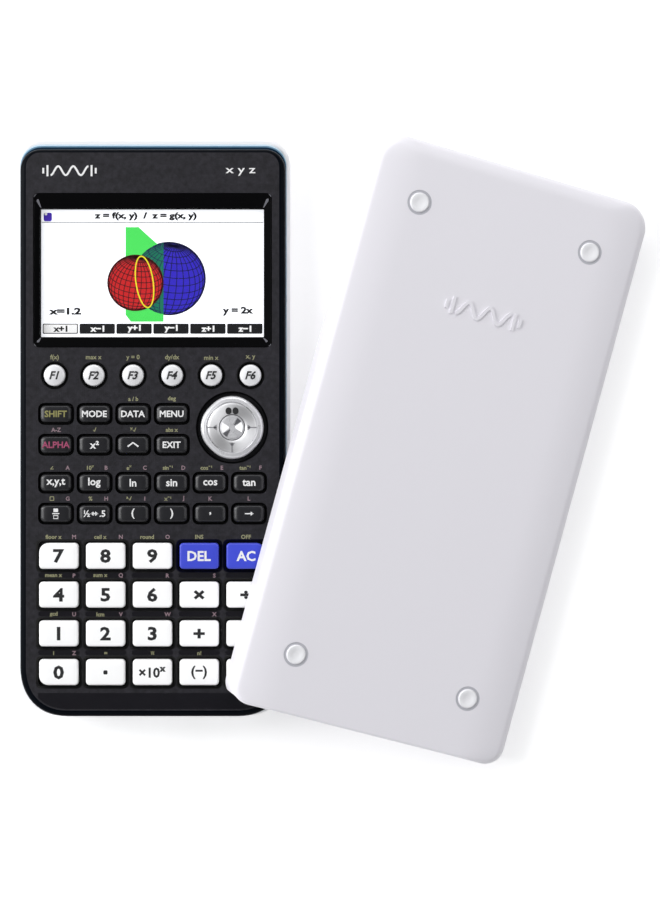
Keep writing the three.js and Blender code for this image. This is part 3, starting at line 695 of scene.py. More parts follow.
def display_bezel():
    """The glossy surround that slopes down to the screen, with a painted highlight, a pale grey facet, along
    each mitre.
    """
    (x0, x1), (y0, y1) = SCREEN_X, SCREEN_Y_EDGES
    outer = rounded_at(0, DISPLAY_Y, RECESS_W - 0.2, RECESS_L - 0.2, 1.9, 8)
    crest = rounded_at(0, DISPLAY_Y, RECESS_W - 0.6, RECESS_L - 0.6, 1.7, 8)
    inner = rounded(x0 - 0.35, x1 + 0.35, y0 - 0.35, y1 + 0.35, (0.5,) * 4, 8)
    rings = [(BEZEL_LOW, inner), (BEZEL_LOW, outer), (BEZEL_TOP - 0.15, outer), (BEZEL_TOP, crest),
             (BEZEL_LOW + 0.16, inner)]
    surround = Form().loft(rings, closed=True)
    piece("display_bezel", surround, CALCULATOR, [WINDOW_BORDER], angle=25)
    # Pale grey strips along each mitre: a painted highlight.
    mitre_highlights = Form()
    for side, end in ((-1, 1), (1, 1), (-1, -1), (1, -1)):
        x, y = side * (RECESS_W / 2 - 0.35), DISPLAY_Y + end * (RECESS_L / 2 - 0.5)
        x_in, y_in = SCREEN_X[side > 0] + 0.2 * side, SCREEN_Y_EDGES[end > 0] + 0.2 * end
        x_tip, y_tip = x + (x_in - x) * MITRE_REACH, y + (y_in - y) * MITRE_REACH
        across, up = -MITRE_W * side, -MITRE_W * end
        outline = [(x, y), (x + across, y), (x_tip + across / 2, y_tip), (x_tip, y_tip - up * 0.2),
                   (x, y + up)]
        long = math.hypot(x_in - x, y_in - y)
        mitre_highlights.loft([[(*p, z - fall * math.dist(p, (x, y)) / long) for p in outline[::-side * end]]
                     for z, fall in ((BEZEL_LOW, 0), (BEZEL_TOP + 0.01, 0.3))])
    piece("bezel_mitre_facets", mitre_highlights, CALCULATOR, [MITRE_HIGHLIGHT])


def window():
    (w, l, _), z0, z1 = WINDOW_HIGH - WINDOW_LOW, WINDOW_LOW.z, WINDOW_HIGH.z
    full, small = rounded_at(0, DISPLAY_Y, w, l, 2.0), rounded_at(0, DISPLAY_Y, w - 0.3, l - 0.3, 1.9)
    pane = Form().loft([(z0, small), (z0 + 0.12, full), (z1 - 0.12, full), (z1, small)])
    piece("display_window", pane, CALCULATOR, [GLASS], ["display_window"])


def lcd_panel():
    """The display's steel frame, its dark glass, its lit ground and its cable to the board."""
    (x0, y0, z0), (x1, y1, z1) = LCD_LOW, LCD_HIGH
    made = loose_object(Form().block(x0, x1, y0, y1, z0, z1 - 0.25, 0.6), "lcd_module", [LCD_FRAME])
    carve(made, Form().prism(rounded_at(0, DISPLAY_Y, x1 - x0 - 3, y1 - y0 - 3, 0.4), z1 - 0.5, z1 + 1))
    dress(made, CALCULATOR, ["lcd_module"])
    glass = Form().block(x0 + 1.6, x1 - 1.6, y0 + 1.6, y1 - 1.6, z1 - 0.45, z1 - 0.06, 0.3)
    piece("lcd_polariser", glass, CALCULATOR, [WINDOW_BORDER])
    (left, right), (lower, upper) = SCREEN_X, SCREEN_Y_EDGES
    lit = Form().block(left - 0.2, right + 0.2, lower - 0.2, upper + 0.2, z1 - 0.1, z1, 0.04)
    piece("screen_ground", lit, CALCULATOR, [SCREEN])
    path = [(y0 + 1.5, 13.1), (y0 - 1.5, 12.6), (22.5, 12.2), (19.5, 10.9)]
    cable = joined(*[ribbon_across(-8 + strand * 0.75, 0.5, path, 0.14) for strand in range(22)])
    piece("lcd_ribbon_cable", cable, CALCULATOR, [RIBBON])


def ribbon_across(x, width, path, thickness):
    """A strip that runs in the YZ plane, for flat cables."""
    return Form().loft([[(x, y, z), (x + width, y, z), (x + width, y, z + thickness), (x, y, z + thickness)]
                        for y, z in path])


def screen_ink(name, *rgb):
    return finish_of("screen_" + name, rgb, 0.4, shade=(3, 0.02), glow=0.25)


SCREEN_INKS = {
    "green": screen_ink("light_green", 74, 222, 92), "blue": screen_ink("blue", 44, 30, 186),
    "deep": screen_ink("deep_green", 10, 112, 84), "red": screen_ink("red", 196, 22, 26),
    "dark": screen_ink("dark", 8, 8, 12), "yellow": screen_ink("yellow", 236, 222, 40),
    "navy": screen_ink("navy", 14, 10, 74), "plum": screen_ink("plum", 64, 30, 176),
    "maroon": screen_ink("maroon", 76, 8, 14), "white": screen_ink("white", 244, 244, 244),
}
LAYER = 0.02  # thickness of one printed layer of the picture on the screen


def layer(level):
    return LCD_HIGH.z + level * LAYER, LCD_HIGH.z + (level + 1) * LAYER


GLOBE_STEP = 12.0  # degrees between circles


def globe_lines(cx, cy, r, lean, spin):
    """The visible halves of a wire globe's circles of latitude and longitude."""
    turn = Euler((math.radians(lean), math.radians(spin), 0)).to_matrix()
    around = [2 * math.pi * i / 36 for i in range(37)]
    circles = []
    for parallel in range(-6, 7):
        height = math.radians(GLOBE_STEP * parallel)
        circles.append([(math.cos(height) * math.cos(a), math.sin(height), math.cos(height) * math.sin(a))
                        for a in around])
    for meridian in range(round(180 / GLOBE_STEP)):
        way = math.radians(GLOBE_STEP * meridian)
        circles.append([(math.cos(a) * math.cos(way), math.sin(a), math.cos(a) * math.sin(way))
                        for a in around])
    paths = []
    for points in circles:
        paths.append([])
        for q in [turn @ Vector(p) for p in points]:
            if q.z >= -0.02:
                paths[-1].append((cx + r * q.x, cy + r * q.y))
            elif paths[-1]:
                paths.append([])
    return [path for path in paths if len(path) > 1]


def screen_picture():
    """A red and a blue wire globe cut by a green plane, a title row and six soft-key tabs."""
    red, blue = (-5.7, 46.8, 8.9), (5.2, 48.2, 11.7)
    (x0, x1), plane_x = SCREEN_X, 3.4
    art = {name: Form() for name in SCREEN_INKS}
    rims = {"navy": circle(*blue, 64), "maroon": circle(*red, 56)}
    globes = {"navy": globe_lines(*blue, 24, 18), "maroon": globe_lines(*red, 24, 18)}

    def wires(ink, level):
        for path in globes[ink]:
            art[ink].join(ribbon(path, 0.26, *layer(level)))
        art[ink].join(ribbon(rims[ink], 0.5, *layer(level), closed=True))

    def type_at(ink, text, size, weight, squeeze, x, y, level=1):
        art[ink].join(placed(words(text, size, LAYER, weight, squeeze=squeeze), x, y, sum(layer(level)) / 2))

    art["blue"].prism(rims["navy"], *layer(0))
    wires("navy", 1)
    plane = [(-8.9, 64.9), (-4.7, 64.9), (plane_x, 57.6), (plane_x, 34.2), (-7.2, 34.2), (-8.9, 36.4)]
    art["green"].prism(plane[::-1], *layer(2))
    edge = math.sqrt(blue[2] ** 2 - (plane_x - blue[0]) ** 2)
    overlap = [(x, y) for x, y in rims["navy"] if x < plane_x]
    art["deep"].prism([(plane_x, blue[1] + edge)] + overlap + [(plane_x, blue[1] - edge)], *layer(3))
    for path in globes["navy"]:
        inside = [p for p in path if p[0] < plane_x]
        if len(inside) > 1:
            art["navy"].join(ribbon(inside, 0.2, *layer(4)))
    art["red"].prism(rims["maroon"], *layer(5))
    wires("maroon", 6)
    tilt = Matrix.Rotation(math.radians(8), 2)
    loop = [tilt @ Vector(p) for p in arc(0, 0, 2.8, 8.4, 0, 352, 44)]
    art["yellow"].join(ribbon([(-2.75 + p.x, 47.1 + p.y) for p in loop], 0.42, *layer(7), closed=True))
    art["dark"].join(line(x0, 66.5, x1, 66.5, 0.24, *layer(0)))
    type_at("dark", "z = f(x, y)  /  z = g(x, y)", 1.9, 0.13, 1.35, -2.4, 68.4)
    type_at("dark", "x=1.2", 2.1, 0.14, 1.5, -28.6, 37.6)
    type_at("dark", "y = 2x", 2.1, 0.14, 1.25, 27.6, 37.6)
    art["plum"].prism(rounded_at(-34.2, 68.2, 2.7, 2.8, 0.6, 3), *layer(0))
    art["white"].prism(rounded_at(-34.8, 69.2, 0.9, 0.9, 0.3, 3), *layer(1))
    tab_w, tab_y = (x1 - x0) / 6, 31.9
    for place, text in enumerate(("x+1", "x−1", "y+1", "y−1", "z+1", "z−1")):
        x = x0 + (place + 0.5) * tab_w
        art["dark"].prism(rounded_at(x, tab_y, tab_w - 0.5, 3.3, 0.4, 3), *layer(0))
        if place == 0:
            art["white"].prism(rounded_at(x, tab_y, tab_w - 1.1, 2.7, 0.3, 3), *layer(1))
        type_at("white" if place else "dark", text, 1.9, 0.12, 1.15, x, tab_y, 2)
    for name, form in art.items():
        piece("screen_" + name, form, CALCULATOR, [SCREEN_INKS[name]], weighted=False)


# ---- Key caps ----
def cap_form(node, corners, profile):
    """A flanged key cap; the profile is (z, inset along X, inset along Y) from the flange upwards."""
    low, high = frame_box(node)
    x0, x1, y0, y1 = low.x + KEY_FLANGE, high.x - KEY_FLANGE, low.y + KEY_FLANGE, high.y - KEY_FLANGE
    flange = (0.8,) * 4
    rings = [
        (FLANGE_Z[0], rounded(low.x + 0.2, high.x - 0.2, low.y + 0.2, high.y - 0.2, flange)),
        (FLANGE_Z[0] + 0.2, rounded(low.x, high.x, low.y, high.y, flange)),
        (FLANGE_Z[1], rounded(low.x, high.x, low.y, high.y, flange)),
    ]
    for z, ix, iy in profile:
        radii = [max(r - min(ix, iy), 0.35) for r in corners]
        rings.append((z, rounded(x0 + ix, x1 - ix, y0 + iy, y1 - iy, radii)))
    return Form().loft(rings)


def large_profile(top):
    edge = [(z, inset, inset) for inset, z in quarter(0, top - 0.75, 0.6, top - 0.1, 5)]
    return [(FLANGE_Z[1], 0, 0)] + edge + [(top - 0.03, 1.6, 1.6), (top, 2.8, 2.8)]


def small_profile(top):
    edge = [(top - 1.0 + 0.92 * math.sin(a), 1.7 * (1 - math.cos(a)), 0.5 * (1 - math.cos(a)))
            for a in quarter_turn(7)]
    return [(FLANGE_Z[1], 0, 0)] + edge + [(top, 2.6, 1.2)]


def dome_height(x, y, top):
    """Height of a function key's dome at a distance from its centre."""
    return top - 0.35 * min((x * x + y * y) / 2.8**2, 1.2)


def round_cap(node):
    at, top = frame_centre(node), frame_box(node)[1].z
    profile = [(FLANGE_Z[0], 4.7), (FLANGE_Z[0] + 0.2, 4.9), (FLANGE_Z[1], 4.9), (FLANGE_Z[1], ROUND_R)]
    profile += [(z, ROUND_R - inset) for inset, z in quarter(0, top - 1.1, 0.7, top - 0.35, 5)]
    profile += [(dome_height(r, 0, top), r) for r in (2.4, 1.9, 1.3, 0.7, 0.2)]
    return turned_disc(at.x, at.y, profile, 40)


OUTER = 3.0
CORNERS = {  # lower right, upper right, upper left, lower left
    "7": (LARGE_R, LARGE_R, OUTER, LARGE_R), "clear": (LARGE_R, OUTER, LARGE_R, LARGE_R),
    "0": (LARGE_R, LARGE_R, LARGE_R, OUTER), "execute": (OUTER, LARGE_R, LARGE_R, LARGE_R),
}
BLUE_KEYS = ("delete", "clear")


def cap_name(node):
    return node[4:] + ("_digit_key" if node[4:].isdigit() else "_key")


def key_caps():
    for node in KEYS:
        top = frame_box(node)[1].z
        if node in ROUND_KEYS:
            form, paint, slot = round_cap(node), KEY_SILVER, "key_silver"
        elif node in SMALL_KEYS:
            form, paint, slot = cap_form(node, (SMALL_R,) * 4, small_profile(top)), KEY_BLACK, "key_black"
        else:
            form = cap_form(node, CORNERS.get(node[4:], (LARGE_R,) * 4), large_profile(top))
            paint, slot = (KEY_BLUE, "key_blue") if node[4:] in BLUE_KEYS else (KEY_WHITE, "key_white")
        made = piece(cap_name(node), form, node, [paint, KEY_SKIRT_SHADE], [node], angle=40)
        # The flange takes the painted shade of the gap under the face.
        paint_faces(made, 1, lambda centre: centre.z < FLANGE_Z[1] + 0.05)


# ---- Legends ----
PRINT = 0.05  # depth of a printed legend
LIFT, LIFT_IN_STRIP = 0.005, -0.11  # the face labels' height over the face
ROUND_LABEL_Y = 22.4


def fraction_icon():
    """A filled box over an empty one, with a bar between."""
    half = PRINT / 2
    form = Form().prism(rounded_at(0, 1.08, 1.5, 1.15, 0.1, 1), -half, half)
    form.join(line(-1.15, 0, 1.15, 0, 0.34, -half, half))
    box = [(-0.7, -1.6), (0.7, -1.6), (0.7, -0.62), (-0.7, -0.62)]
    return form.join(ribbon(box, 0.28, -half, half, closed=True))


def arrow_icon(length, y, both=False, width=0.36):
    z0, z1 = -PRINT / 2, PRINT / 2
    form = line(-length / 2, y, length / 2, y, width, z0, z1)
    ends = (1, -1) if both else (1,)
    for end in ends:
        tip = end * length / 2
        head = [(tip - end * 0.75, y + 0.5), (tip + end * 0.1, y), (tip - end * 0.75, y - 0.5)]
        form.join(ribbon(head, width, z0, z1))
    return form


def convert_icon():
    """An arrow both ways between a half and its decimal."""
    sides = [placed(words(text, 2.1, PRINT, 0.07), x, 0, 0) for text, x in (("½", -2.5), (".5", 2.6))]
    return joined(arrow_icon(2.0, 0, both=True), *sides)


def chevron_icon():
    return ribbon([(-1.75, -0.6), (0, 0.7), (1.75, -0.6)], 0.5, -PRINT / 2, PRINT / 2)


def point_icon():
    return Form().prism(rounded_at(0, 0, 1.35, 1.35, 0.35, 3), -PRINT / 2, PRINT / 2)


LEGENDS = {
    "f1": "F1", "f2": "F2", "f3": "F3", "f4": "F4", "f5": "F5", "f6": "F6",
    "shift": "SHIFT", "option": "MODE", "variable": "DATA", "menu": "MENU",
    "alpha": "ALPHA", "square": "x²", "power": chevron_icon, "exit": "EXIT",
    "unknown": "x,y,t", "fraction": fraction_icon, "convert": convert_icon,
    "paren_open": "(", "paren_close": ")", "comma": ",", "store": lambda: arrow_icon(2.6, 0),
    "delete": "DEL", "clear": "AC", "times": "×", "divide": "÷", "plus": "+", "minus": "−",
    "point": point_icon, "exponent": "×10ˣ", "negate": "(−)", "execute": "ENT",
}
LEGEND_INKS = {"shift": INK_YELLOW, "alpha": INK_ROSE, "delete": INK_WHITE, "clear": INK_WHITE}
SECOND_LABELS = {
    "square": "√", "power": "ʸ√", "exit": "abs x", "variable": "a / b", "menu": "deg", "unknown": "∠",
    "log": "10ˣ", "ln": "eˣ", "sin": "sin⁻¹", "cos": "cos⁻¹", "tan": "tan⁻¹", "fraction": "▢", "convert": "%",
    "paren_open": "³√", "paren_close": "x⁻¹", "7": "floor x", "8": "ceil x", "9": "round", "delete": "INS",
    "clear": "OFF", "4": "mean x", "5": "sum x", "1": "gcd", "2": "lcm", "0": "i", "point": "=",
    "exponent": "π", "negate": "n!",
}
LETTER_KEYS = """unknown log ln sin cos tan fraction convert paren_open paren_close comma store
7 8 9 4 5 6 times divide 1 2 3 plus minus 0"""
LETTER_LABELS = {"alpha": "A-Z", **dict(zip(LETTER_KEYS.split(), "ABCDEFGHIJKLMNOPQRSTUVWXYZ"))}
ROUND_LABELS = ("f(x)", "max x", "y = 0", "dy/dx", "min x", "x, y")


def legend_of(name, node):
    text = LEGENDS.get(name, name)
    if callable(text):
        return text()
    if node in ROUND_KEYS:
        return words(text, 2.6, PRINT, 0.1, slant=0.3, squeeze=0.95)
    if node in SMALL_KEYS:
        return words(text, 2.1 if text.isupper() else 2.5, PRINT, 0.075)
    if len(text) == 1:
        return words(text, 4.2, PRINT, 0.2, squeeze=1.18)
    return words(text, 3.2, PRINT, 0.13)


def legends():
    for node in KEYS:
        name, at, top = node[4:], frame_centre(node), frame_box(node)[1].z
        form = legend_of(name, node)
        if node in ROUND_KEYS:
            form.points = [(x, y, dome_height(x, y, 0) + z) for x, y, z in form.points]
        ink = LEGEND_INKS.get(name, INK_WHITE if node in SMALL_KEYS else INK_BLACK)
        z = top + (0.07 if node in ROUND_KEYS else 0.012 - PRINT / 2)
        piece(name + "_legend", placed(form, at.x, at.y, z), node, [ink], weighted=False)


def face_labels():
    """Second functions printed on the face over each key: dull yellow to the left, rose to the right."""
    left, right = Form(), Form()
    for node in SMALL_KEYS + LARGE_KEYS:
        at, small = frame_centre(node), node in SMALL_KEYS
        half_w, rise = (3.0, 4.85) if small else (3.9, 6.15)
        yellow, rose = SECOND_LABELS.get(node[4:], ""), LETTER_LABELS.get(node[4:], "")
        z = FACE_Z + (LIFT if small or at.y > STRIPS_FROM_Y else LIFT_IN_STRIP)
        if yellow:
            shift = half_w * 0.45 if rose else 0
            left.join(placed(words(yellow, 1.35, 0.03, 0.05), at.x - shift, at.y + rise, z))
        if rose:
            shift = half_w * 1.25 if yellow or not small else 0
            right.join(placed(words(rose, 1.35, 0.03, 0.05), at.x + shift, at.y + rise, z))
    for node, text in zip(ROUND_KEYS, ROUND_LABELS):
        left.join(placed(words(text, 1.5, 0.03, 0.04), frame_centre(node).x, ROUND_LABEL_Y, FACE_Z + LIFT))
    piece("shift_labels", left, CALCULATOR, [INK_LABEL], weighted=False)
    piece("alpha_labels", right, CALCULATOR, [INK_LETTER], weighted=False)


def abstract_mark(width, height, z0, z1, stroke):
    """A made-up mark: a wave between two bars."""
    w, h = width / 2, height / 2
    wave = [(w * 0.72 * t, h * 0.8 * math.sin(2.5 * math.pi * t)) for t in [i / 30 - 1 for i in range(61)]]
    form = ribbon(wave, stroke, z0, z1)
    for side in (-w, w):
        form.join(line(side * 0.84, -h, side * 0.84, h, stroke, z0, z1))
        form.join(line(side, -h * 0.5, side, h * 0.5, stroke, z0, z1))
    return form


def face_marks():
    z = FACE_Z - 0.01
    mark = abstract_mark(17.0, 3.6, -0.01, 0.03, 0.62)
    piece("maker_mark", placed(mark, -26.9, 83.0, z), CALCULATOR, [INK_WHITE], weighted=False)
    model = words("x y z", 2.6, 0.03, 0.03, squeeze=1.4)
    model = placed(model, 28.5, 82.6, z + 0.01)
    piece("model_mark", model, CALCULATOR, [INK_WHITE], weighted=False)


# ---- Direction pad ----
def pad_ring(r, steps=72):
    """A circle flattened a little on its diagonals."""
    angles = [2 * math.pi * i / steps for i in range(steps)]
    return [
        (PAD_AT.x + r * (1 - 0.03 * math.sin(2 * a) ** 4) * math.cos(a),
         PAD_AT.y + r * (1 - 0.03 * math.sin(2 * a) ** 4) * math.sin(a)) for a in angles
    ]


def round_pad_ring(r):
    return circle(PAD_AT.x, PAD_AT.y, r, 72)


def direction_pad():
    """A rocking plate with a rolled edge, a ring sunk into it with a painted sheen, and a hub with petals of
    painted highlight and painted shade.
    """
    top, foot = PAD_TOP, 13.7
    rings = [(foot, round_pad_ring(11.8)), (foot + 0.2, round_pad_ring(12)), (foot + 0.7, round_pad_ring(12)),
             (foot + 0.7, pad_ring(PAD_R)), (top - 1.2, pad_ring(PAD_R))]
    rings += [(z, pad_ring(PAD_R - inset)) for inset, z in quarter(0, top - 1.2, 1.3, top - 0.1, 7)]
    groove_r, crest_r, hub_r, sunk, hub_z = 8.1, 6.1, 4.3, top - 0.5, top - 0.55
    rings += [(top, pad_ring(groove_r + 0.35)), (sunk, pad_ring(groove_r))]
    for i in range(1, 10):
        a = math.radians(18 * i)
        across = round_pad_ring(crest_r + (groove_r - crest_r - 0.1) * math.cos(a))
        rings.append((sunk + 0.46 * math.sin(a), across))
    rings += [(hub_z, round_pad_ring(hub_r)), (hub_z, round_pad_ring(hub_r - 0.3))]
    rings += [(hub_z + 0.3 * (1 - (r / hub_r) ** 2), round_pad_ring(r)) for r in (3.8, 3.2, 2.4, 1.4, 0.4)]
    paints = [PAD_SILVER, PAD_SIDE_SHADE, PAD_SHADE, PAD_SHEEN]
    made = piece("direction_pad", Form().loft(rings), PAD, paints, [PAD], angle=30)

    def away(centre):
        return math.hypot(centre.x - PAD_AT.x, centre.y - PAD_AT.y)

    # The side in the well and the hub's rim take painted shade, and the sunk ring takes the painted sheen.
    paint_faces(made, paints.index(PAD_SIDE_SHADE), lambda c: c.z < top - 1.5)
    paint_faces(made, paints.index(PAD_SHADE), lambda c: c.z > top - 1.5 and 3.95 < away(c) < hub_r)
    paint_faces(made, paints.index(PAD_SHEEN), lambda c: c.z > top - 0.6 and hub_r < away(c) < groove_r)
    # The bright petals are a painted highlight and the shade petals are painted shade; the dim ones keep the
    # hub's own silver.
    for name, paint, middle, spread in (("bright", PAD_HIGHLIGHT, 2, 30), ("dim", PAD_SILVER, 91, 30),
                                        ("shade", PAD_SHADE, 47, 13)):
        petals = Form()
        for way in (middle, middle + 180):
            outline = arc(PAD_AT.x, PAD_AT.y, 3.5, 3.5, way - spread, way + spread, 10)
            outline += arc(PAD_AT.x, PAD_AT.y, 1, 1, way + spread / 2, way - spread / 2, 4)
            petals.prism(outline, top - 0.6, top - 0.2)
        piece(f"pad_{name}_petals", petals, PAD, [paint])
    icon, marks = Form(), Form()
    for side in (-1, 1):
        lobe = arc(PAD_AT.x + side * 1.12, PAD_AT.y + 5.35, 0.98, 1.15, 0, 345, 23)
        icon.prism(lobe, top - 0.25, top + 0.01)
    piece("pad_icon", icon, PAD, [INK_BLACK], weighted=False)
    for way in (0, 180, 270):
        mark = line(5.0, 0, 8.0, 0, 0.34, top - 0.25, top + 0.005)
        mark.prism([(5.0, -0.9), (5.9, -0.35), (5.9, 0.35), (5.0, 0.9)], top - 0.25, top + 0.005)
        marks.join(placed(mark, PAD_AT.x, PAD_AT.y, 0, way))
    piece("pad_arrow_marks", marks, PAD, [INK_GREY], weighted=False)


def pad_pivot():
    z0, z1 = [corner.z for corner in frame_box("tilt_pivot")]
    profile = [(z0, 2.0), (z0 + 0.2, 2.2), (z1 - 0.9, 2.2), (z1 - 0.45, 1.95), (z1 - 0.12, 1.3), (z1, 0.4)]
    post = turned_disc(PAD_AT.x, PAD_AT.y, profile)
    piece("pad_pivot", post, "tilt_pivot", [MEMBRANE], ["tilt_pivot"])


# ---- Slide cover ----
COVER_FEET = both_sides([(29.4, 75.0), (29.4, -75.0)])
COVER_MATRIX = (
    Matrix.Translation(COVER_PLACE)
    @ Matrix.Rotation(math.radians(COVER_TURN), 4, "Z")
    @ Matrix.Rotation(math.radians(COVER_TILT), 4, "Y")
)


def cover_outline(inset, end_inset=None, open_inset=None):
    """The cover's outline, inset by different amounts at its sides, its closed end and its open end."""
    end_inset = inset if end_inset is None else end_inset
    open_inset = end_inset if open_inset is None else open_inset
    w, l = COVER_W / 2 - inset, COVER_L / 2
    closed, opened = max(9 - 0.5 * inset, 3), max(6.5 - 0.3 * inset, 2)
    return rounded(-w, w, -l + open_inset, l - end_inset, (opened, closed, closed, opened), 12)


def cover_edge(thickness=0.0):
    """(side inset, z) pairs from the wall's top to the roof: a tight round, then a long soft fall."""
    turn, fall, slope = 3.0 - thickness, 12.5, math.radians(10)
    shoulder = COVER_DEPTH - thickness - fall * math.tan(slope) / 2
    low, last = shoulder - 3.9 + thickness, math.pi / 2 - slope
    pairs = []
    for i in range(9):
        a = last * i / 8
        inset = turn * (1 - math.cos(a)) / (1 - math.cos(last))
        pairs.append((inset, low + (shoulder - low) * math.sin(a) / math.sin(last)))
    for i in range(1, 9):
        t = i / 8
        pairs.append((turn + fall * t, shoulder + fall * math.tan(slope) * (t - t * t / 2)))
    return pairs


def cover_shell():
    """Local frame: rim on z = 0, roof on top, closed end towards +Y."""
    half_w, half_l, ceiling = COVER_W / 2, COVER_L / 2, COVER_DEPTH - COVER_WALL
    edge = cover_edge()
    low, high = edge[0][1], edge[-1][1]
    rings = [(0.0, cover_outline(0.25)), (0.25, cover_outline(0.0))]
    for inset, z in edge:
        round_off = 1 - math.sqrt(max(1 - ((z - low) / (high - low)) ** 2, 0))
        rings.append((z, cover_outline(inset, 5.5 * round_off, 1.3 * round_off)))
    made = loose_object(Form().loft(rings), "cover_shell", [COVER_SHELL, COVER_GROOVE_SHADE])
    inside = []
    for inset, z in [(0.0, -1.0)] + cover_edge(COVER_WALL):
        w, l = half_w - COVER_WALL - inset, half_l - COVER_WALL - min(inset, 2.0)
        corner = max(7.5 - 0.5 * inset, 2)
        inside.append((z, rounded(-w, w, -half_l - 3, l, (0.5, corner, corner, 0.5), 8)))
    carve(made, Form().loft(inside))
    lips = [Form().block_at(side * (half_w - 2.2), -1.25, 2.0, COVER_L - 15.5, 0.05, 1.3, 0.3)
            for side in (-1, 1)]
    ribs = joined(*[Form().block_at(x, 1, 1, 142, ceiling - 0.7, ceiling + 0.3, 0.2) for x in (-20, 0, 20)])
    build_on(made, *lips, ribs)
    grooves = joined(*[ring_form(x, y, 3.2, 4.0, COVER_DEPTH - 0.16, COVER_DEPTH + 1) for x, y in COVER_FEET])
    # The grooves take the second paint, the painted shade.
    carve(made, Form().join(grooves, 1))
    made.data.transform(in_metres(COVER_MATRIX))
    dress(made, COVER, ["slide_cover"], angle=38)


def in_metres(matrix):
    """A placing worked out in millimetres, for a mesh that is already in metres."""
    moved = matrix.copy()
    moved.translation = matrix.translation * MM
    return moved


def ring_form(x, y, r0, r1, z0, z1):
    inner, outer = circle(x, y, r0, 40), circle(x, y, r1, 40)
    return Form().loft([(z0, inner), (z0, outer), (z1, outer), (z1, inner)], closed=True)


def cover_parts():
    z = COVER_DEPTH
    profile = [(z - 0.6, 3.1), (z + 0.15, 3.1), (z + 0.4, 2.8), (z + 0.42, 1.9), (z + 0.25, 1.5),
               (z + 0.23, 0.3)]
    feet = posts(COVER_FEET, profile, 36).turned(COVER_MATRIX)
    piece("cover_feet", feet, COVER, [COVER_FOOT])
    mark = placed(abstract_mark(25.0, 5.5, z - 0.2, z + 0.42, 1.05), 0.5, 46.4, 0).turned(COVER_MATRIX)
    piece("cover_mark", mark, COVER, [COVER_SHELL])


# ---- Battery door and cells ----
CELLS, CELL_STEPS = range(1, 5), 40
COIL_TURNS, COIL_STEPS, WIRE_R = 4, 18, 0.3


def battery_door():
    """A plate with two hooks at one end, a latch at the other, and a grip and an arrow on its outside."""
    z0, z1, x, y0, y1 = DOOR_LOW.z, 1.8, DOOR_HIGH.x, BAY_Y[0] + 0.6, DOOR_HIGH.y
    rings = [(z, rounded(-x + inset, x - inset, y0 + inset, y1 - inset, (1.0,) * 4))
             for z, inset in ((z0, 0.25), (z0 + 0.2, 0.0), (z1 - 0.1, 0.0), (z1, 0.1))]
    made = loose_object(Form().loft(rings), "battery_door_plate", [SHELL])
    for x_hook in HOOK_XS:
        build_on(made, Form().block_at(x_hook, y0 + 0.6, 7, 1.2, z1 - 0.4, 3.3, 0.15),
                 Form().block_at(x_hook, y0 - 0.4, 7, 3, 2.3, 3.3, 0.15))
    ribs = joined(*[Form().block(x_rib - 0.4, x_rib + 0.4, y0 + 6, y1 - 6, z1 - 0.2, z1 + 0.15, 0.1)
                    for x_rib in (-18, -6, 6, 18)])
    build_on(made, Form().block(-4, 4, y1 - 1.4, y1 - 0.6, z1 - 0.3, 4.4, 0.2), ribs)
    grip = joined(*[Form().block_at(0, y1 - 3.85 - 1.5 * i, 14, 0.7, z0 - 1, z0 + 0.4, 0.1)
                    for i in range(4)])
    carve(made, grip, ribbon([(-3, y1 - 15.5), (0, y1 - 12), (3, y1 - 15.5)], 0.9, z0 - 1, z0 + 0.25))
    dress(made, "battery_door", ["battery_door"])


def cell_place(number):
    """A cell's axis in X and Z, the way its raised end points, and the Y of its flat and raised ends."""
    low, high = frame_box(f"battery_{number}")
    way = 1 if number % 2 else -1
    return (low.x + high.x) / 2, (low.z + high.z) / 2, way, *(low.y, high.y)[::way]


def battery_cells():
    dark, copper, metal = range(3)
    for number in CELLS:
        low, high = frame_box(f"battery_{number}")
        r, (x, z, way, flat, _) = (high.x - low.x) / 2, cell_place(number)
        profile = [
            (0, 0.01, metal), (0, 4.2, metal), (0.25, 4.6, dark), (0.35, r - 0.25, dark), (0.8, r, dark),
            (29, r, dark), (29.3, r, copper), (42.3, r, copper), (42.9, r - 0.3, copper),
            (43.05, 4.4, copper), (43.1, 4.1, metal), (43.0, 2.2, metal), (43.5, 1.9, metal),
            (44.3, 1.9, metal), (44.5, 1.6, metal), (44.5, 0.01, metal),
        ]
        turns = [2 * math.pi * i / CELL_STEPS for i in range(CELL_STEPS)]
        form = tunnel([
            (flat + way * along, [(x + r_at * math.cos(a) * way, z - r_at * math.sin(a)) for a in turns])
            for along, r_at, _ in profile
        ])
        form.paint = [paint for _, _, paint in profile[:-1] for _ in turns] + [metal, metal]
        paints = [CELL_DARK, CELL_COPPER, METAL]
        piece(f"cell_{number}", form, CALCULATOR, paints, [f"battery_{number}"])


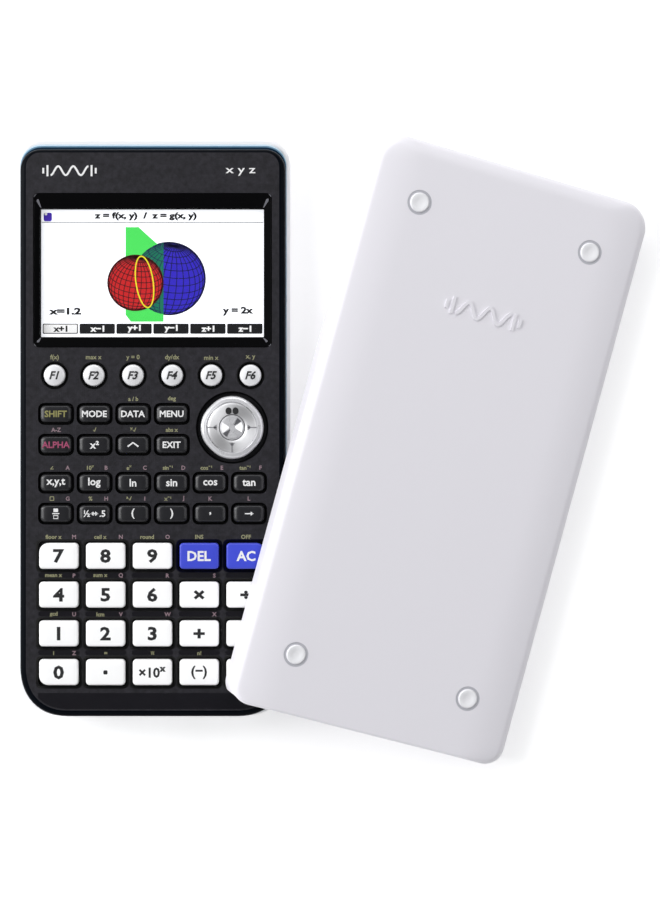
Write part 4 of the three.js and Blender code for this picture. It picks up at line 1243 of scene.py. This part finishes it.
def battery_contacts():
    """A coil spring on each cell's flat end and a plate on each raised end, all in the bay."""
    plates, coils = Form(), Form()
    for number in CELLS:
        x, z, way, flat, raised = cell_place(number)
        flat_wall, raised_wall = BAY_Y[::way]
        for wall, inward in ((flat_wall, way), (raised_wall, -way)):
            y0, y1 = sorted((wall + inward * 0.05, wall + inward * 0.4))
            plates.block(x - 4.4, x + 4.4, y0, y1, 3.2, 9.7, 0.1)
        y0, y1 = sorted((raised_wall, raised + way * 0.05))
        plates.block(x - 1.6, x + 1.6, y0, y1, z - 1.6, z + 1.6, 0.3)
        start = flat_wall + way * 0.5
        reach = flat - start - way * 0.3
        rings = []
        for i in range(COIL_TURNS * COIL_STEPS + 1):
            t = i / (COIL_TURNS * COIL_STEPS)
            a, r = 2 * math.pi * COIL_TURNS * t, 3.6 - 1.2 * t
            centre = Vector((x + r * math.cos(a), start + reach * t, z + r * math.sin(a)))
            outward = Vector((math.cos(a), 0, math.sin(a)))
            rings.append([centre + (outward * math.cos(b) + Vector((0, math.sin(b), 0))) * WIRE_R
                          for b in [math.pi * j / 3 for j in range(6)]])
        coils.loft(rings)
    piece("battery_contact_plates", plates, CALCULATOR, [METAL])
    piece("battery_springs", coils, CALCULATOR, [METAL])


# ---- Board and membrane ----
BOARD_LOW, BOARD_HIGH = frame_box("main_board")
BOARD_Z = (9.6, 10.6)


def circuit_board():
    """The board, and the chips, pins and small parts on its underside."""
    x, (z, z_top) = BOARD_HIGH.x, BOARD_Z
    slab = Form().prism(rounded(-x, x, -88, BOARD_HIGH.y, (12, 1, 1, 12), 8), z, z_top)
    made = loose_object(slab, "circuit_board", [BOARD])
    carve(made, posts(SCREW_PLACES, [(z - 1, 2.7), (z_top + 1, 2.7)]))
    dress(made, CALCULATOR, ["main_board"])
    chips = Form().block(-7, 7, -6, 8, z - 1.4, z - 0.15, 0.3)
    chips.block(14, 24, -4, 4, z - 1.2, z - 0.1, 0.3).block(-26, -18, -2, 5, z - 1.0, z - 0.1, 0.3)
    chips.join(turned_disc(-31, -12, [(z - 3.6, 1.6), (z - 3.4, 1.9), (z, 1.9)], 24))
    pins, parts = Form(), Form()
    for i in range(14):
        along = i * 0.88 - 5.7
        for side in (-7.4, 7.4):
            pins.block_at(side, along + 1, 1, 0.3, z - 0.5, z + 0.05, 0.05)
            pins.block_at(along, side + 1, 0.3, 1, z - 0.5, z + 0.05, 0.05)
    for i in range(18):
        parts.block_at((i % 6) * 11.5 - 30, -22 - (i // 6) * 16, 1.8, 0.9, z - 0.8, z + 0.02, 0.12)
    piece("board_chips", chips, CALCULATOR, [CHIP])
    piece("chip_pins", pins, CALCULATOR, [METAL])
    piece("board_capacitors", parts, CALCULATOR, [CELL_COPPER])


def sockets():
    """The USB socket's folded shell and tongue, and the link jack, at the board's lower edge."""
    y0, z0, z1 = BOARD_LOW.y, 4.9, BOARD_Z[0]

    def usb(w, h, r, *ys):
        return tunnel([(y, rounded_at(USB_X, (z0 + z1) / 2, w, h, r, 4)) for y in ys])

    shell = loose_object(usb(9.0, z1 - z0, 0.9, y0 + 6.2, y0), "usb_socket", [METAL])
    carve(shell, usb(8.2, z1 - z0 - 0.8, 0.6, y0 + 5.4, y0 - 1))
    dress(shell, CALCULATOR)
    tongue = Form().block(USB_X - 2.6, USB_X + 2.6, y0 + 0.9, y0 + 5.8, 6.9, 7.7, 0.15)
    piece("usb_tongue", tongue, CALCULATOR, [CHIP])
    jack = loose_object(Form().block(JACK_X - 3, JACK_X + 3, y0, y0 + 7, 4.4, z1, 0.3), "link_jack", [CHIP])
    carve(jack, tunnel([(y, circle(JACK_X, JACK_Z, 1.3, 24)) for y in (y0 + 6, y0 - 1)]))
    dress(jack, CALCULATOR)


def membrane():
    """The silicone sheet under the keys, with a dome for each key and four for the pad."""
    low, high = frame_box("keypad_membrane")
    z0, z1 = low.z, low.z + 0.7
    sheet = Form().prism(rounded(low.x, high.x, low.y, high.y, (11, 1, 1, 11), 6), z0, z1)
    made = loose_object(sheet, "rubber_membrane", [MEMBRANE])
    carve(made, turned_disc(PAD_AT.x, PAD_AT.y, [(z0 - 1, 2.8), (z1 + 1, 2.8)]),
          posts(SCREW_PLACES[2:], [(z0 - 1, 2.4), (z1 + 1, 2.4)]))
    tops = [(frame_centre(n), 14.2) for n in KEYS]
    tops += [(PAD_AT + Vector((x, y, 0)), 13.4) for x, y in ((7, 0), (0, 7), (-7, 0), (0, -7))]
    domes = Form()
    for at, z in tops:
        dome = [(z1 - 0.2, 2.2), (z1 + 0.4, 2.1), (z - 0.9, 1.75), (z - 0.7, 1.3), (z - 0.1, 1.2), (z, 1.0)]
        domes.join(turned_disc(at.x, at.y, dome, 16))
    dress(made, CALCULATOR, ["keypad_membrane"])
    piece("rubber_domes", domes, CALCULATOR, [MEMBRANE])


# ---- Stage ----
def light_tent():
    """A pale surround with a dark opening overhead, so that flat gloss stays dark and edges catch light."""
    world = bpy.data.worlds.new("light_tent")
    tree = Tree(world)
    way = tree.add("TexCoord", "Generated")
    height = tree.add("SeparateXYZ", "Z", {"Vector": way})
    opening = tree.ramp(height, 0.80, 0.95, 1.0, 0.1, interpolation_type="SMOOTHSTEP")
    lit = tree.add("VectorMath", "Value", {0: way, 1: TOWARDS_LIGHT}, operation="DOT_PRODUCT")
    side = tree.ramp(lit, -0.7, 0.5, TENT_SHADE, TENT_LIGHT, interpolation_type="SMOOTHSTEP")
    strength = tree.add("Math", "Value", {0: opening, 1: side}, operation="MULTIPLY")
    tree.feed(tree.nodes["Background"], {"Color": (0.97, 0.98, 1.0, 1), "Strength": strength})
    return world


TOWARDS_LIGHT = (-0.86, 0.5, 0.0)
TENT_LIGHT = 0.8
TENT_SHADE = 0.12
FLOOR_GLOW = 0.3


def stage():
    """A pale floor, the light tent and five softboxes."""
    half, cells = 1400, 8
    step = 2 * half / cells
    points = [(-half + i * step, -half + j * step, 0) for j in range(cells + 1) for i in range(cells + 1)]
    corners = [j * (cells + 1) + i for j in range(cells) for i in range(cells)]
    quads = [[c, c + 1, c + cells + 2, c + cells + 1] for c in corners]
    floor = loose_object(Form().add(points, quads), "studio_floor")
    floor.data.materials.append(finish_of("studio_floor", (253, 253, 253), 0.8, shade=(200, 0.004),
                                          specular=0.1, glow=FLOOR_GLOW))
    bpy.context.scene.world = light_tent()
    aim = Vector((40 * MM, 0, 0))
    for name, place, size, power in (
        ("left_softbox", (-900, 250, 800), (700, 900), 8.0),
        ("low_left_softbox", (-1150, 200, 380), (300, 900), 3.8),
        ("right_softbox", (950, 200, 850), (700, 900), 2.5),
        ("end_softbox", (100, 1000, 800), (1100, 500), 5.0),
        ("low_softbox", (60, -1000, 750), (900, 400), 1.6),
    ):
        data = bpy.data.lights.new(name, "AREA")
        data.shape, data.size, data.size_y, data.energy = "RECTANGLE", size[0] * MM, size[1] * MM, power
        lamp = bpy.data.objects.new(name, data)
        bpy.context.scene.collection.objects.link(lamp)
        lamp.location = Vector(place) * MM
        lamp.rotation_euler = (aim - lamp.location).to_track_quat("-Z", "Y").to_euler()


VIEW_CENTRE = (57.5, -7.5)
VIEW_HEIGHT = 925.0  # over the face
LONG_SIDE = 291.6  # what the picture's long side spans at the face
SENSOR = 36.0


def camera():
    data = bpy.data.cameras.new("camera")
    data.sensor_width = SENSOR
    data.lens = SENSOR * VIEW_HEIGHT / LONG_SIDE
    data.clip_start, data.clip_end = 0.02, 20
    made = bpy.data.objects.new("camera", data)
    bpy.context.scene.collection.objects.link(made)
    made.location = Vector((*VIEW_CENTRE, FACE_Z + VIEW_HEIGHT)) * MM
    bpy.context.scene.camera = made
    bpy.context.scene.view_settings.view_transform = "Standard"


# ---- The object ----
front_shell()
trim_ring()
rear_shell()
foot_pads()
case_screws()
display_bezel()
window()
lcd_panel()
screen_picture()
key_caps()
legends()
face_labels()
face_marks()
direction_pad()
pad_pivot()
cover_shell()
cover_parts()
battery_door()
battery_cells()
battery_contacts()
circuit_board()
sockets()
membrane()
stage()
camera()
